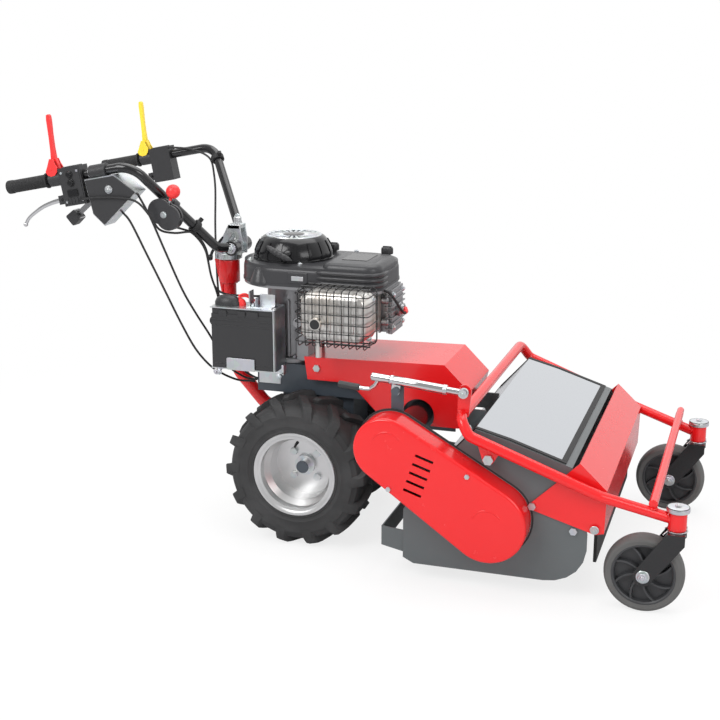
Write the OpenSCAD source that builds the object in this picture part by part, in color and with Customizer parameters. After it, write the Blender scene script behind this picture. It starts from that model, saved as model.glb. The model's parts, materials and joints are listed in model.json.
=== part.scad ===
// Walk-behind flail mower: a two-wheeled tractor with a belt-driven flail deck on casters.
// Machine frame: +X forward, +Y to the operator's left, +Z up, ground at Z = 0.
// Positions are measured from the drive axle, then moved so that the footprint is centred.

/* [Drive wheels] */
// Outside diameter of a tyre
tyre_d = 410; // [384:2:430]
// Width of a tyre
tyre_w = 150; // [130:2:154]
// Distance between the two tyre centre planes
track_w = 360; // [352:2:380]
// Height of a tread lug
lug_h = 20; // [12:1:24]
// Lugs on each shoulder of the tread
lug_count = 14; // [10:1:18]
// Outside diameter of the rim flange
rim_d = 232; // [216:2:240]
// How far the wheel disc lies inside the outer flange
rim_dish = 95; // [80:1:105]
// Diameter of an axle shaft
axle_d = 30; // [24:1:36]
// Diameter of the wheel hub flange
hub_d = 120; // [108:1:130]

/* [Tractor] */
// Height of the engine platform above the ground
platform_z = 468; // [462:1:480]
// Width over the chassis side plates
chassis_w = 184; // [178:1:190]
// Thickness of the chassis plates
chassis_t = 6; // [4:1:8]
// Width of the red belt hood
hood_w = 234; // [220:2:250]
// Height of the belt hood above the engine platform
hood_rise = 40; // [34:1:50]
// Diameter of the steering column tube
column_d = 38; // [32:1:44]
// Height of the column top above the ground
column_z = 734; // [724:1:744]

/* [Engine] */
// Radius of the blower end of the shroud
shroud_r = 140; // [128:1:150]
// Height of the shroud above the engine platform
shroud_rise = 228; // [224:1:234]
// Height of the blower part of the shroud
shroud_h = 57; // [52:1:64]
// Radius of the recoil starter cover
recoil_r = 108; // [96:1:116]
// Height of the recoil starter cover
recoil_h = 62; // [54:1:70]
// Length of the muffler
muffler_l = 198; // [180:1:206]
// Height of the muffler
muffler_h = 138; // [126:1:146]
// Depth of the muffler
muffler_w = 70; // [60:1:74]
// Inside diameter of the exhaust outlet
outlet_d = 26; // [20:1:30]
// Length of the battery
battery_l = 181; // [170:1:190]
// Depth of the battery
battery_w = 77; // [70:1:84]
// Height of the battery
battery_h = 167; // [150:1:172]

/* [Handlebar] */
// Diameter of a handlebar tube
bar_d = 26; // [22:1:28]
// Distance between the two grips
grip_span = 528; // [500:2:560]
// Height of the grip ends above the ground
grip_z = 948; // [930:1:960]
// Length of a grip
grip_l = 126; // [110:1:130]
// Diameter of a grip
grip_d = 34; // [32:1:38]
// Height of the stop and drive levers above the bar
lever_l = 138; // [124:1:150]

/* [Deck] */
// Width over the deck side plates
deck_w = 720; // [700:2:730]
// Length of the deck side plates
deck_l = 467; // [460:1:474]
// Height of the deck side plates
deck_h = 376; // [370:1:382]
// Thickness of the deck sheet
deck_t = 4; // [3:0.5:5]
// Depth of the belt cover
cover_w = 70; // [66:1:76]
// Radius of the upper end of the belt cover
cover_top_r = 83; // [78:1:90]
// Radius of the lower end of the belt cover
cover_low_r = 98; // [94:1:104]
// Diameter of the flail rotor tube
rotor_d = 90; // [80:1:96]
// Length of a flail
flail_l = 80; // [70:1:84]
// Flails in a row
flail_count = 8; // [6:1:10]

/* [Caster frame] */
// Diameter of the frame tube
frame_d = 27; // [24:1:30]
// Distance between the caster heads
caster_span = 702; // [690:2:720]
// Diameter of a caster wheel
caster_d = 195; // [180:1:200]
// Width of a caster wheel
caster_w = 50; // [44:1:52]
// How far a caster axle trails its head
caster_trail = 71; // [66:1:78]
// How far the front bar reaches past the belt cover's side
bar_overhang = 430; // [420:1:436]

/* [Hidden] */
$fn = 64;

// Fits and cuts
run_gap = 0.05;
free_gap = 0.3;
seat_gap = 0.2;
over = 2;
right = -1;
left = 1;
arc_steps = 32;

// Axle and wheels
axle_z = tyre_d / 2;
axle_r = axle_d / 2;
wheel_y = track_w / 2;
rim_r = rim_d / 2;
flange_h = 13;
seat_r = rim_r - flange_h;
well_h = 13;
rim_wall = 4;
bead_inset = 5;
rim_half = tyre_w / 2 - bead_inset;
hub_t = 10;
nose_r = 28;
nose_l = 18;
cap_r = 18;
cap_l = 16;
stud_r = 6;
nut_r = 11;
nut_h = 10;
nut_count = 4;
nut_pcd_share = 0.8;
axle_end_gap = 5;
hub_back_y = wheel_y + rim_half - rim_dish - rim_wall - hub_t;
boss_wall = 17;
gearbox_half = 70;
gearbox_low = 80;
gearbox_rear_x = -98;
gearbox_l = 210;
gearbox_shares = [[0.09, 0.06], [0.2, 0], [0.75, 0], [0.92, 0.12], [1, 1], [0, 1], [0, 0.45]];
carcass_r = tyre_d / 2 - lug_h;
lug_t = 24;
lug_l = 86;
lug_sink = 7;
lug_skew = 32;
lug_pitch = 360 / lug_count;
tyre_wall = 10;

// Belt drive places
cross_x = 308;
cross_z = 364;
rotor_x = 568;
rotor_z = 197;
crank_x = -87;
crank_r = 12.5;
cross_r = 12.5;
input_r = 12;
rotor_r = rotor_d / 2;
rotor_shaft_r = 15;
belt_t = 8;
belt_w = 16;
pulley_flange_t = 5;
pulley_lip = 8;
belt_drop = 28;
belt_z = platform_z - belt_drop;
crank_pulley_r = 48;
input_pulley_r = 60;
cross_pulley_r = 56;
rotor_pulley_r = 70;

// Chassis and hood
side_y = chassis_w / 2;
platform_t = 8;
base_z = 385;
base_t = 8;
chassis_rear_x = -165;
chassis_front_x = 405;
platform_front_x = 150;
chassis_step_x = 230;
chassis_low_z = 318;
crank_hole_r = 34;
hood_y = hood_w / 2;
hood_t = 2;
hood_z = platform_z + hood_rise;
hood_rear_x = -17;
hood_nose_x = 448;
hood_l = hood_nose_x - hood_rear_x;
hood_h = 172;
hood_hole_r = 44;
hood_bolt_x = 20;
hood_bolt_rise = 2;
hood_bolt_z = platform_z + hood_bolt_rise;
tube_r = 34;
tube_wall = 4;
pto_half = 58;
pto_l = 92;
pto_h = 100;
pto_wall = 10;
gear_near = 20;
gear_far = 34;
gear_shift = 0.8;

// Deck
deck_y = deck_w / 2;
deck_x = 338;
deck_z = 44;
deck_shares = [[0, 0.037], [0.06, 0], [0.775, 0], [0.84, 0.01], [0.9, 0.04], [0.95, 0.09],
    [0.985, 0.16], [1, 0.24], [1, 0.356], [0.93, 0.72], [0.908, 0.803], [0.576, 0.939],
    [0.39, 1], [0.218, 0.761], [0, 0.386]];
sheet_shares = [[0.908, 0.803], [0.576, 0.939], [0.39, 1], [0.218, 0.761], [0, 0.386], [0, 0.08]];
guard_shares = [[-0.126, 0.104], [-0.126, 0.242], [0.03, 0.223], [0.03, 0.064]];
neck_y = side_y - chassis_t;
neck_t = 5;
neck_x = 352;
neck_z = 338;
neck_h = 46;
neck_lap = 4;
neck_top_share = 0.6;
neck_low_share = 0.1;
function on_sheet(share) = let (p = spread(sheet_shares, deck_x, deck_z, deck_l, deck_h))
    p[3] + share * (p[2] - p[3]) + [neck_lap, 0];
hitch_x = 380;
hitch_z = 360;
hitch_r = 8;
cover_y = deck_y + cover_w;
cover_t = 3;
plate_lip = 4;
slot_l = 48;
slot_w = 7;
slot_step = 24;
slot_count = 5;
slot_share = 0.335;
slot_lean = 18;
cover_screw_r = 4;
bearing_r = 46;
bearing_t = 16;
rotor_gap = 5;

// Front hood, turning on the deck sides
flap_pivot_x = 668;
flap_pivot_z = 239;
pivot_r = 6;
fronthood_gap = 5;
fronthood_y = deck_y + fronthood_gap;
fronthood_t = 4;
hood_ear = 3.2;
front_side_shares = [[-0.03, -0.05], [-0.03, 0.03], [0.29, 0.36], [0.6, 0.69], [0.96, 0.33],
    [0.945, -0.29], [0.83, -0.32]];
front_sheet_shares = [[0.6, 0.69], [0.96, 0.33], [0.945, -0.29]];
front_l = 188;
front_h = 177;
flap_rod_x = 821;
flap_rod_z = 197;
flap_rod_r = 6;
flap_half = 322;
flap_t = 8;
flap_h = 104;
flap_eye_r = 11;
stop_x = 771;
stop_z = 184;

// Caster frame
frame_r = frame_d / 2;
frame_wall = 3;
head_x = 1016;
head_y = caster_span / 2;
head_low_z = 216;
head_h = 46;
head_r = 22;
stem_r = 12.5;
frame_pivot_x = 560;
frame_pivot_drop = 66;
frame_bolt_r = 8;
frame_out = 34;
frame_in = 20;
frame_front_out = 24;
frame_over_deck = 32;
frame_over_cover = 5;
cover_slope = atan2(cross_z - rotor_z, rotor_x - cross_x);
frame_pivot_low = rotor_z + (cover_low_r + frame_bolt_r + pivot_r + frame_over_cover) / cos(cover_slope)
    + (rotor_x - frame_pivot_x) * tan(cover_slope);
frame_pivot_z = max(deck_z + deck_h - frame_pivot_drop, frame_pivot_low);
frame_top_z = max(deck_z + deck_h + frame_over_deck, cross_z + cover_top_r + frame_over_cover);
frame_back_x = 486;
corner_bend = 30;
head_lap = 16;
frame_front_z = 243;
frame_knee_x = 836;
frame_knee_z = 290;
frame_rear_x = 512;
frame_step = 39;
frame_path = [[head_x - head_lap, right * head_y, frame_front_z],
    [frame_knee_x, right * (deck_y + frame_front_out), frame_knee_z],
    [frame_rear_x, right * (deck_y + frame_out), frame_top_z - frame_step],
    [frame_back_x, right * (deck_y + frame_in), frame_top_z]];
ear_t = 7;
ear_gap = 17;
ear_y = deck_y + ear_gap;
ear_half = 14;
ear_spread = 34;
front_bar_x = 958;
front_bar_r = 11;
bar_lap = 1.5;
front_bar_z = lookup(front_bar_x, [for (i = [1, 0]) [frame_path[i][0], frame_path[i][2]]])
    + frame_r + front_bar_r - bar_lap;
bar_end_l = 36;
bar_end_r = 10;
arm_x = 490;
arm_rise = 60;
arm_z = frame_top_z + arm_rise;
arm_w = 34;
arm_t = 6;
arm_in = 6;
arm_y = deck_y - arm_in;
washer_r = 10;
axle_x = head_x - caster_trail;
caster_r = caster_d / 2;
caster_axle_r = 8;
fork_t = 5;
fork_gap = 4;
fork_y = caster_w / 2 + fork_gap;
head_gap = 3;
fork_top_z = head_low_z - head_gap;
fork_hub_r = 24;
fork_bridge_l = 44;
cap_top_r = 27;
cap_top_h = 12;
tread_t = 20;
caster_hub_r = caster_r - tread_t;
caster_web_t = 8;
caster_rim_t = 7;
caster_boss_r = 19;
spoke_count = 8;
spoke_t = 5;

// Height spindle, drawn along its own axis from the pivot on the post
post_x = 319;
post_drop = 9;
post_z = arm_z - post_drop;
post_w = 32;
post_t = 6;
post_low_z = 402;
spindle_out = 6;
spindle_y = deck_y + spindle_out;
spindle_rise = 25;
spindle_r = 11;
spindle_bore_r = 8.1;
rod_r = spindle_bore_r - run_gap;
screw_r = 4;
screw_gap = 0.5;
lug_pin_r = 6;
lug_half = 6;
lug_r = 11;
eye_r = 13;
eye_gap = 1.4;
arm_dx = arm_x - post_x;
arm_dz = arm_z - post_z;
spindle_tilt = asin(spindle_rise / norm([arm_dx, arm_dz])) - atan2(arm_dz, arm_dx);
eye_x = sqrt(arm_dx * arm_dx + arm_dz * arm_dz - spindle_rise * spindle_rise);
tube_rear_x = -18;
tube_front_x = 128;
crank_hub_l = 48;
crank_hub_r = 10;
crank_rod_r = 5;
crank_grip_r = 9;
crank_grip_l = 56;
crank_path = [[-46, 0, 0], [-56, 0, -22], [-68, 0, -33], [-84, 0, -35], [-96, 0, -35]];

// Steering
swivel_x = -284;
swivel_r = 36;
swivel_h = 18;
swivel_stem_r = 15;
swivel_stem_l = 56;
column_cup_r = 30;
column_cup_h = 64;
column_path = [[gearbox_rear_x, 0, 300], [-178, 0, 316], [-262, 0, 410], [swivel_x, 0, 540],
    [swivel_x, 0, column_z - column_cup_h]];
column_bend = 60;
gusset_half = 16;
gusset_shares = [[-0.6, 1], [-0.25, 1], [-0.25, -0.5], [-0.3, -0.5]];
column_flange_t = 8;
column_flange_r = 34;
tilt_x = -255;
tilt_rise = 40;
tilt_z = column_z + tilt_rise;
tilt_pin_r = 8;
tilt_hub_r = 21;
tilt_hub_w = 30;
yoke_half = 22;
yoke_l = 34;
yoke_rise = 62;
lock_rod_r = 4;
lock_path = [[-6, -14, 54], [-40, -18, 22], [-62, -26, -8]];
bar_r = bar_d / 2;
bar_wall = 2.5;
grip_y = grip_span / 2;
grip_end_x = -812;
bar_bend_x = -440;
bar_climb = 72;
bar_bend_z = grip_z + bar_climb;
bar_low_x = -280;
bar_low_y = 88;
bar_low_rise = 8;
bar_bend_r = 60;
bar_low_r = 30;
bar_pitch = atan2(bar_bend_z - grip_z, bar_bend_x - grip_end_x);
grip_rib = 1.5;
lever_s = 150;
lever_rise = 28;
lever_w = 12;
lever_pin_r = 4;
collar_wall = 6;
collar_r = bar_r + collar_wall;
collar_l = 30;
block_s = 172;
block_l = 66;
block_w = 44;
block_up = 26;
block_down = 76;
clutch_s = 162;
clutch_drop = 57;
clutch_pin_r = 4;
clutch_path = [[-4, 0, 0], [-34, 0, -2], [-69, 0, -9], [-100, 0, -21], [-124, 0, -34], [-138, 0, -49]];
clutch_r = 5;
console_s = 258;
console_w = 56;
console_l = 146;
console_h = 132;
console_shares = [[-0.06, 0], [0.545, 0], [0.92, -0.41], [0.15, -0.97], [-0.03, -0.71]];
console_gap = 1;
console_drop = bar_r + console_gap;
shift_pin_s = 268;
shift_pin_drop = 47;
shift_pin_r = 5;
shift_y = 40;
shift_t = 5;
shift_w = 14;
shift_l = 112;
shift_angle = 30;
shift_knob = 30;
throttle_x = -365;
route_grip_y = 264;
throttle_route_y = 225;
throttle_y = span_y(throttle_route_y);
throttle_z = 890;
throttle_share = 0.5;
throttle_lean = 22;
throttle_r = 34;
throttle_stretch = 24;
throttle_t = 24;
throttle_l = 66;
ball_r = 19;
throttle_rod_r = 4;
clip_t = 16;

// Control cables: points chosen by hand along their routes
cable_r = 2.5;
cable_gap = 1.2;
cable_sides = 8;
cable_ref = [0.2, 1, 0.1];
right_clip_share = 0.24;
left_clip_share = 0.84;
rear_face_x = chassis_rear_x - seat_gap;
console_top_route = [[-480, -262, 906], [-471, -262, 894], [-452, -256, 867], [-417, -240, 780],
    [-383, -215, 684], [-351, -190, 591]];
console_low_route = [[-351, -190, 591], [-321, -165, 512], [-290, -140, 459], [-262, -112, 428],
    [-232, -78, 404], [-200, -70, 402], [rear_face_x, -70, 402]];
second_top_route = [[-430, -262, 956], [-423, -262, 942], [-395, -256, 886], [-366, -235, 793],
    [-337, -200, 684], [-319, -160, 612]];
second_low_route = [[-319, -160, 612], [-301, -112, 540], [-286, -84, 486], [-262, -70, 438],
    [-225, -54, 408], [-200, -50, 402], [rear_face_x, -50, 402]];
throttle_top_route = [[-352, -225, 866], [-348, -214, 856], [-342, -180, 845], [-331, -145, 831],
    [-316, -124, 806], [-306, -108, 775], [-302, -100, 740]];
throttle_low_route = [[-302, -100, 740], [-298, -92, 700], [-288, -82, 664], [-262, -72, 648],
    [-220, -58, 644], [-190, -45, 642], [-156.2, -30.2, 642]];
clutch_top_route = [[-590, -279, 925], [-578, -292, 928], [-560, -299, 933], [-510, -300, 938],
    [-455, -300, 939], [-410, -297, 930], [-380, -288, 895], [-364, -265, 855], [-348, -210, 838],
    [-324, -150, 832], [-308, -128, 806], [-300, -114, 775], [-298, -108, 740]];
clutch_low_route = [[-298, -108, 740], [-294, -100, 700], [-286, -78, 640], [-282, -62, 560],
    [-272, -50, 480], [-240, -34, 426], [-200, -30, 402], [rear_face_x, -30, 402]];
drive_top_route = [[-592, 250, 1010], [-576, 246, 1014], [-520, 243, 1013], [-475, 240, 1004],
    [-448, 237, 992], [-435, 234, 976], [-424, 222, 948], [-406, 190, 900], [-380, 125, 812],
    [-360, 80, 745]];
drive_low_route = [[-360, 80, 745], [-350, 60, 690], [-340, 46, 620], [-326, 40, 540],
    [-296, 38, 470], [-240, 36, 424], [-200, 36, 402], [rear_face_x, 36, 402]];
console_cable_top = spanned(console_top_route);
console_cable_low = spanned(console_low_route);
second_cable_top = spanned(second_top_route);
second_cable_low = spanned(second_low_route);
throttle_cable_top = spanned(throttle_top_route);
throttle_cable_low = spanned(throttle_low_route);
clutch_cable_top = spanned(clutch_top_route);
clutch_cable_low = spanned(clutch_low_route);
drive_cable_top = spanned(drive_top_route);
drive_cable_low = spanned(drive_low_route);

// Footprint: the rear end of the grips and the front of the caster caps
origin_x = (grip_end_x + head_x + cap_top_r) / 2;

// Directions and outlines
function unit(v) = v / norm(v);
// Routes drawn for grips at route_grip_y follow the bars when these stand wider or closer
function span_y(y) = min(y, bar_low_y)
    + max(y - bar_low_y, 0) * (grip_y - bar_low_y) / (route_grip_y - bar_low_y);
function spanned(p) = [for (q = p) [q[0], sign(q[1]) * span_y(abs(q[1])), q[2]]];
function turn(a, b, c) = acos(unit(b - a) * unit(c - b));
function flip(p) = [for (q = p) [q[0], -q[1], q[2]]];
function back(p) = [for (i = [len(p) - 1 : -1 : 0]) p[i]];
function side_n(a, b) = let (d = unit(b - a)) [d[1], -d[0]];
function corner_n(p, i) =
    i == 0 ? side_n(p[0], p[1]) :
    i == len(p) - 1 ? side_n(p[i - 1], p[i]) :
    let (n = side_n(p[i - 1], p[i]), m = side_n(p[i], p[i + 1])) (n + m) / (1 + n * m);
// Height of the caster frame tube at x, on its long straight side
function tube_z(x) = lookup(x, [[frame_path[2][0], frame_path[2][2]],
    [frame_path[1][0], frame_path[1][2]]]);
// Closed outline of a folded sheet of thickness t along the points p
function folded(p, t) = concat(p, [for (i = [len(p) - 1 : -1 : 0]) p[i] + t * corner_n(p, i)]);
// Points of an outline given as shares of a length and a height
function spread(shares, x, z, l, h) = [for (s = shares) [x + s[0] * l, z + s[1] * h]];
// Arc that rounds the corner b between a and c
function arc(a, b, c, r, n) =
    let (u = unit(a - b), w = unit(c - b), t = turn(a, b, c),
        mid = b + unit(u + w) * r / cos(t / 2), e = unit(b + u * r * tan(t / 2) - mid))
    [for (k = [0 : n]) mid + r * (e * cos(k * t / n) - u * sin(k * t / n))];
// Path with every inner corner rounded
function rounded(p, r, n) = [for (i = [0 : len(p) - 1])
    each (i == 0 || i == len(p) - 1) ? [p[i]] : arc(p[i - 1], p[i], p[i + 1], r, n)];
function along(p, i) = unit(p[min(i + 1, len(p) - 1)] - p[max(i - 1, 0)]);
// Rings of points round a path, whose direction is never along ref
function rings(p, r, sides, ref) = [for (i = [0 : len(p) - 1])
    let (t = along(p, i), n = unit(cross(ref, t)), m = cross(t, n))
    for (j = [0 : sides - 1]) p[i] + r * (n * cos(j * 360 / sides) + m * sin(j * 360 / sides))];
// Faces that join neighbouring rings, the first ring being at index from
function skin(count, sides, from) = [for (i = [0 : count - 2]) for (j = [0 : sides - 1])
    let (a = from + i * sides + j, b = from + i * sides + (j + 1) % sides)
    each [[a, a + sides, b + sides], [a, b + sides, b]]];
function inside_out(faces) = [for (f = faces) [f[2], f[1], f[0]]];

// Solid round bar along a path
module bar_along(p, r, sides, ref) {
    n = len(p);
    polyhedron(rings(p, r, sides, ref), concat(skin(n, sides, 0),
        [[for (j = [0 : sides - 1]) j]], [[for (j = [sides - 1 : -1 : 0]) (n - 1) * sides + j]]));
}

// Hollow tube along a path
module tube_along(p, r, wall, sides, ref) {
    n = len(p);
    m = n * sides;
    polyhedron(concat(rings(p, r, sides, ref), rings(p, r - wall, sides, ref)),
        concat(skin(n, sides, 0), inside_out(skin(n, sides, m)),
            [for (j = [0 : sides - 1]) let (k = (j + 1) % sides) each
                [[j, k, m + k], [j, m + k, m + j]]],
            [for (j = [0 : sides - 1]) let (a = (n - 1) * sides + j, b = (n - 1) * sides + (j + 1) % sides)
                each [[a, m + b, b], [a, m + a, m + b]]]));
}

// Moves a piece from axle-centred to footprint-centred places
module placed() translate([-origin_x, 0, 0]) children();

// Draws a piece on the given side: as drawn on the right, mirrored on the left
module on_side(s) mirror([0, s == left ? 1 : 0, 0]) children();

// Extrudes an outline in X and Z from y0 to y1
module across(y0, y1) translate([0, y1, 0]) rotate([90, 0, 0]) linear_extrude(height = y1 - y0) children();

// Round bar along Y
module pin_y(x, z, y0, y1, r) translate([x, y1, z]) rotate([90, 0, 0]) cylinder(r = r, h = y1 - y0);

// Block between two corners
module block(a, b) translate(a) cube(b - a);

// Outline round two circles and the straight sides that touch both
function belt_points(a, ra, b, rb, n) =
    let (d = b - a, w = acos((ra - rb) / norm(d)), h = atan2(d[1], d[0]))
    concat([for (i = [0 : n]) let (t = h + w + i * (360 - 2 * w) / n) a + ra * [cos(t), sin(t)]],
        [for (i = [0 : n]) let (t = h - w + 2 * i * w / n) b + rb * [cos(t), sin(t)]]);
module belt_shape(a, ra, b, rb) polygon(belt_points(a, ra, b, rb, arc_steps));

// Outline of the cutter belt drive, grown by g
module drive_shape(top_r, low_r, g) belt_shape([cross_x, cross_z], top_r + g, [rotor_x, rotor_z],
    low_r + g);

// Pulley with two flanges, standing on z = 0
module pulley(r) {
    cylinder(r = r, h = belt_w + 2 * pulley_flange_t);
    cylinder(r = r + pulley_lip, h = pulley_flange_t);
    translate([0, 0, belt_w + pulley_flange_t]) cylinder(r = r + pulley_lip, h = pulley_flange_t);
}
pulley_w = belt_w + 2 * pulley_flange_t;
cutter_belt_out = 24;
cutter_belt_y = deck_y + cutter_belt_out;

// Drive wheels, drawn with the outer side along +Z
module wheel_frame(s) placed() on_side(s) translate([0, -wheel_y, axle_z]) rotate([90, 0, 0]) children();

module tyre() {
    bead = rim_half - rim_wall;
    outer = [[seat_r + seat_gap, bead], [rim_r + tyre_wall, bead + over],
        [(seat_r + carcass_r) / 2 + tyre_wall, tyre_w / 2],
        [carcass_r - tyre_wall, tyre_w / 2 - over], [carcass_r - over, tyre_w / 2 - tyre_wall],
            [carcass_r, 0]];
    inner = [[carcass_r - tyre_wall, 0], [carcass_r - 1.5 * tyre_wall, tyre_w / 2 - 1.5 * tyre_wall],
        [(seat_r + carcass_r) / 2, tyre_w / 2 - tyre_wall], [rim_r, bead - tyre_wall],
            [seat_r + seat_gap, bead - tyre_wall]];
    lower = [for (p = back(inner)) [p[0], -p[1]]];
    rotate_extrude() polygon(concat(outer, [for (i = [len(outer) - 2 : -1 : 0]) [outer[i][0],
        -outer[i][1]]],
        lower, [for (i = [1 : len(inner) - 1]) inner[i]]));
    intersection() {
        cylinder(r = tyre_d / 2, h = tyre_w - 2 * over, center = true);
        for (s = [-1, 1], i = [0 : lug_count - 1])
            rotate([0, 0, (i + s / 4) * lug_pitch]) translate([carcass_r - lug_sink, 0,
                s * lug_l * cos(lug_skew) / 2])
                rotate([s * lug_skew, 0, 0]) translate([0, -lug_t / 2, -lug_l / 2])
                    cube([lug_h + 2 * lug_sink, lug_t, lug_l]);
    }
}

module rim() {
    well = seat_r - well_h;
    edge = [[rim_r, rim_half], [seat_r, rim_half - rim_wall], [seat_r, rim_half * 0.6],
        [well, rim_half * 0.4],
        [well, -rim_half * 0.4], [seat_r, -rim_half * 0.6], [seat_r, rim_wall - rim_half],
            [rim_r, -rim_half]];
    disc_z = rim_half - rim_dish;
    rotate_extrude() polygon(concat(edge, [for (p = back(edge)) [p[0] - rim_wall, p[1]]]));
    difference() {
        translate([0, 0, disc_z - rim_wall]) cylinder(r = well - rim_wall / 2, h = rim_wall);
        translate([0, 0, disc_z - 2 * rim_wall]) cylinder(r = nose_r + seat_gap, h = 3 * rim_wall);
        for (i = [0 : nut_count - 1])
            rotate([0, 0, (i + 0.5) * 360 / nut_count])
                translate([nut_pcd_share * hub_d / 2, 0, disc_z - 2 * rim_wall])
                cylinder(r = stud_r + seat_gap, h = 3 * rim_wall);
    }
}

module hub() {
    face = rim_half - rim_dish - rim_wall;
    translate([0, 0, face - hub_t]) cylinder(r = hub_d / 2, h = hub_t);
    translate([0, 0, face]) cylinder(r = nose_r, h = nose_l);
    translate([0, 0, face + nose_l]) cylinder(r = cap_r, h = cap_l);
    for (i = [0 : nut_count - 1])
        rotate([0, 0, (i + 0.5) * 360 / nut_count]) translate([nut_pcd_share * hub_d / 2, 0, face]) {
            cylinder(r = stud_r, h = rim_wall + nut_h);
            translate([0, 0, rim_wall]) cylinder(r = nut_r, h = nut_h, $fn = 6);
        }
    translate([0, 0, axle_end_gap - wheel_y]) cylinder(r = axle_r,
        h = wheel_y - axle_end_gap + face - hub_t);
}

module tyre_right() color("dimgray") wheel_frame(right) tyre();
module tyre_left() color("dimgray") wheel_frame(left) tyre();
module rim_right() color("silver") wheel_frame(right) rim();
module rim_left() color("silver") wheel_frame(left) rim();
module hub_right() color("gainsboro") wheel_frame(right) hub();
module hub_left() color("gainsboro") wheel_frame(left) hub();

// Tractor
module gearbox_housing() color("slategray") placed() difference() {
    union() {
        across(-gearbox_half, gearbox_half)
            polygon(spread(gearbox_shares, gearbox_rear_x, axle_z - gearbox_low, gearbox_l,
                base_z + gearbox_low - axle_z));
        pin_y(0, axle_z, free_gap - hub_back_y, hub_back_y - free_gap, axle_r + boss_wall);
    }
    pin_y(0, axle_z, -hub_back_y, hub_back_y, axle_r + run_gap);
}

module chassis_frame() {
    plate = [[chassis_rear_x, base_z], [platform_front_x, base_z], [chassis_step_x, chassis_low_z],
        [chassis_front_x, chassis_low_z],
        [chassis_front_x, belt_z], [chassis_front_x - base_t, platform_z - platform_t],
            [chassis_rear_x, platform_z - platform_t]];
    color("darkslategray") placed() difference() {
        union() {
            for (s = [right, left])
                on_side(s) across(-side_y, -neck_y) polygon(plate);
            block([chassis_rear_x, -side_y, platform_z - platform_t],
                [platform_front_x, side_y, platform_z]);
            block([chassis_rear_x, -neck_y, base_z], [platform_front_x, neck_y, base_z + base_t]);
            block([chassis_rear_x, -side_y, base_z], [chassis_rear_x + chassis_t, side_y, platform_z]);
        }
        translate([crank_x, 0, base_z - over]) cylinder(r = crank_hole_r, h = platform_z);
        pin_y(cross_x, cross_z, -side_y - over, -neck_y + over, tube_r + seat_gap);
        pin_y(hitch_x, hitch_z, -side_y - over, side_y + over, hitch_r + seat_gap);
    }
}

module steering_column() color("red") placed() difference() {
    union() {
    tube_along(rounded(column_path, column_bend, 5), column_d / 2, frame_wall, 16, [0, 1, 0]);
    translate([column_path[0][0], 0, column_path[0][2]]) rotate([0, -90, 0])
        cylinder(r = column_flange_r, h = column_flange_t);
    across(-gusset_half, gusset_half)
        polygon(spread(gusset_shares, swivel_x, column_z - column_cup_h, column_cup_h, column_cup_h));
    difference() {
        translate([swivel_x, 0, column_z - column_cup_h]) cylinder(r = column_cup_r, h = column_cup_h);
        translate([swivel_x, 0, column_z - swivel_stem_l - over])
            cylinder(r = swivel_stem_r + run_gap, h = swivel_stem_l + 2 * over);
    }
    }
    block([gearbox_rear_x, -column_flange_r, column_path[0][2] - column_flange_r],
        [gearbox_rear_x + column_d, column_flange_r, column_path[0][2] + column_flange_r]);
}

module belt_hood() {
    side_shares = [[0, -0.05], [0.85, 0], [1, -0.4], [0.94, -1], [0.5, -1], [0.44, -0.84], [0.33, -0.54],
        [0.22, -0.42], [0.02, -0.42]];
    top_shares = [[0, -0.05], [0.85, 0], [1, -0.4], [0.98, -0.64]];
    color("red") placed() difference() {
        union() {
            for (s = [right, left])
                on_side(s) across(-hood_y, hood_t - hood_y)
                    polygon(spread(side_shares, hood_rear_x, hood_z, hood_l, hood_h));
            across(-hood_y, hood_y) polygon(folded(spread(top_shares, hood_rear_x, hood_z, hood_l, hood_h),
                hood_t));
        }
        pin_y(cross_x, cross_z, -hood_y - over, hood_t - hood_y + over, hood_hole_r);
        pin_y(hood_bolt_x, hood_bolt_z, -hood_y - over, hood_y + over, pivot_r + seat_gap);
        translate([crank_x, 0, platform_z - over])
            cylinder(r = block_r + over + free_gap, h = hood_rise + 2 * over);
    }
}

// Bevel gearbox with the tube that carries the cross shaft to the belt side
module pto_gearbox() {
    inner_y = deck_y - deck_t;
    color("black") placed() difference() {
        union() {
            block([cross_x - pto_l / 2, -pto_half, cross_z - pto_h / 2],
                [cross_x + pto_l / 2, pto_half, cross_z + pto_h / 2]);
            pin_y(cross_x, cross_z, pto_half, neck_y, crank_hole_r);
            pin_y(cross_x, cross_z, -inner_y, -pto_half, tube_r);
        }
        block([cross_x - pto_l / 2 + pto_wall, pto_wall - pto_half, cross_z - pto_h / 2 + pto_wall],
            [cross_x + pto_l / 2 - pto_wall, pto_half - pto_wall, cross_z + pto_h / 2 - pto_wall]);
        pin_y(cross_x, cross_z, pto_wall - inner_y, -pto_half - pto_wall, tube_r - tube_wall);
        pin_y(cross_x, cross_z, -inner_y - over, pto_half, cross_r + run_gap);
        translate([cross_x, 0, cross_z]) cylinder(r = input_r + run_gap, h = pto_h);
    }
}

module input_shaft() color("gray") placed() translate([cross_x, 0, 0]) {
    translate([0, 0, cross_z + gear_near]) cylinder(r = input_r, h = belt_z - cross_z - gear_near);
    translate([0, 0, belt_z - pulley_w / 2]) pulley(input_pulley_r);
    translate([0, 0, cross_z + gear_near + gear_shift])
        cylinder(r1 = gear_near, r2 = gear_far, h = gear_far - gear_near);
}

module cross_shaft() color("gray") placed() {
    pin_y(cross_x, cross_z, -cutter_belt_y - pulley_w / 2, gear_far + pto_wall, cross_r);
    translate([cross_x, pulley_w / 2 - cutter_belt_y, cross_z]) rotate([90, 0, 0]) pulley(cross_pulley_r);
    translate([cross_x, gear_near + gear_shift, cross_z]) rotate([-90, 0, 0])
        cylinder(r1 = gear_near, r2 = gear_far, h = gear_far - gear_near);
}

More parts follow.
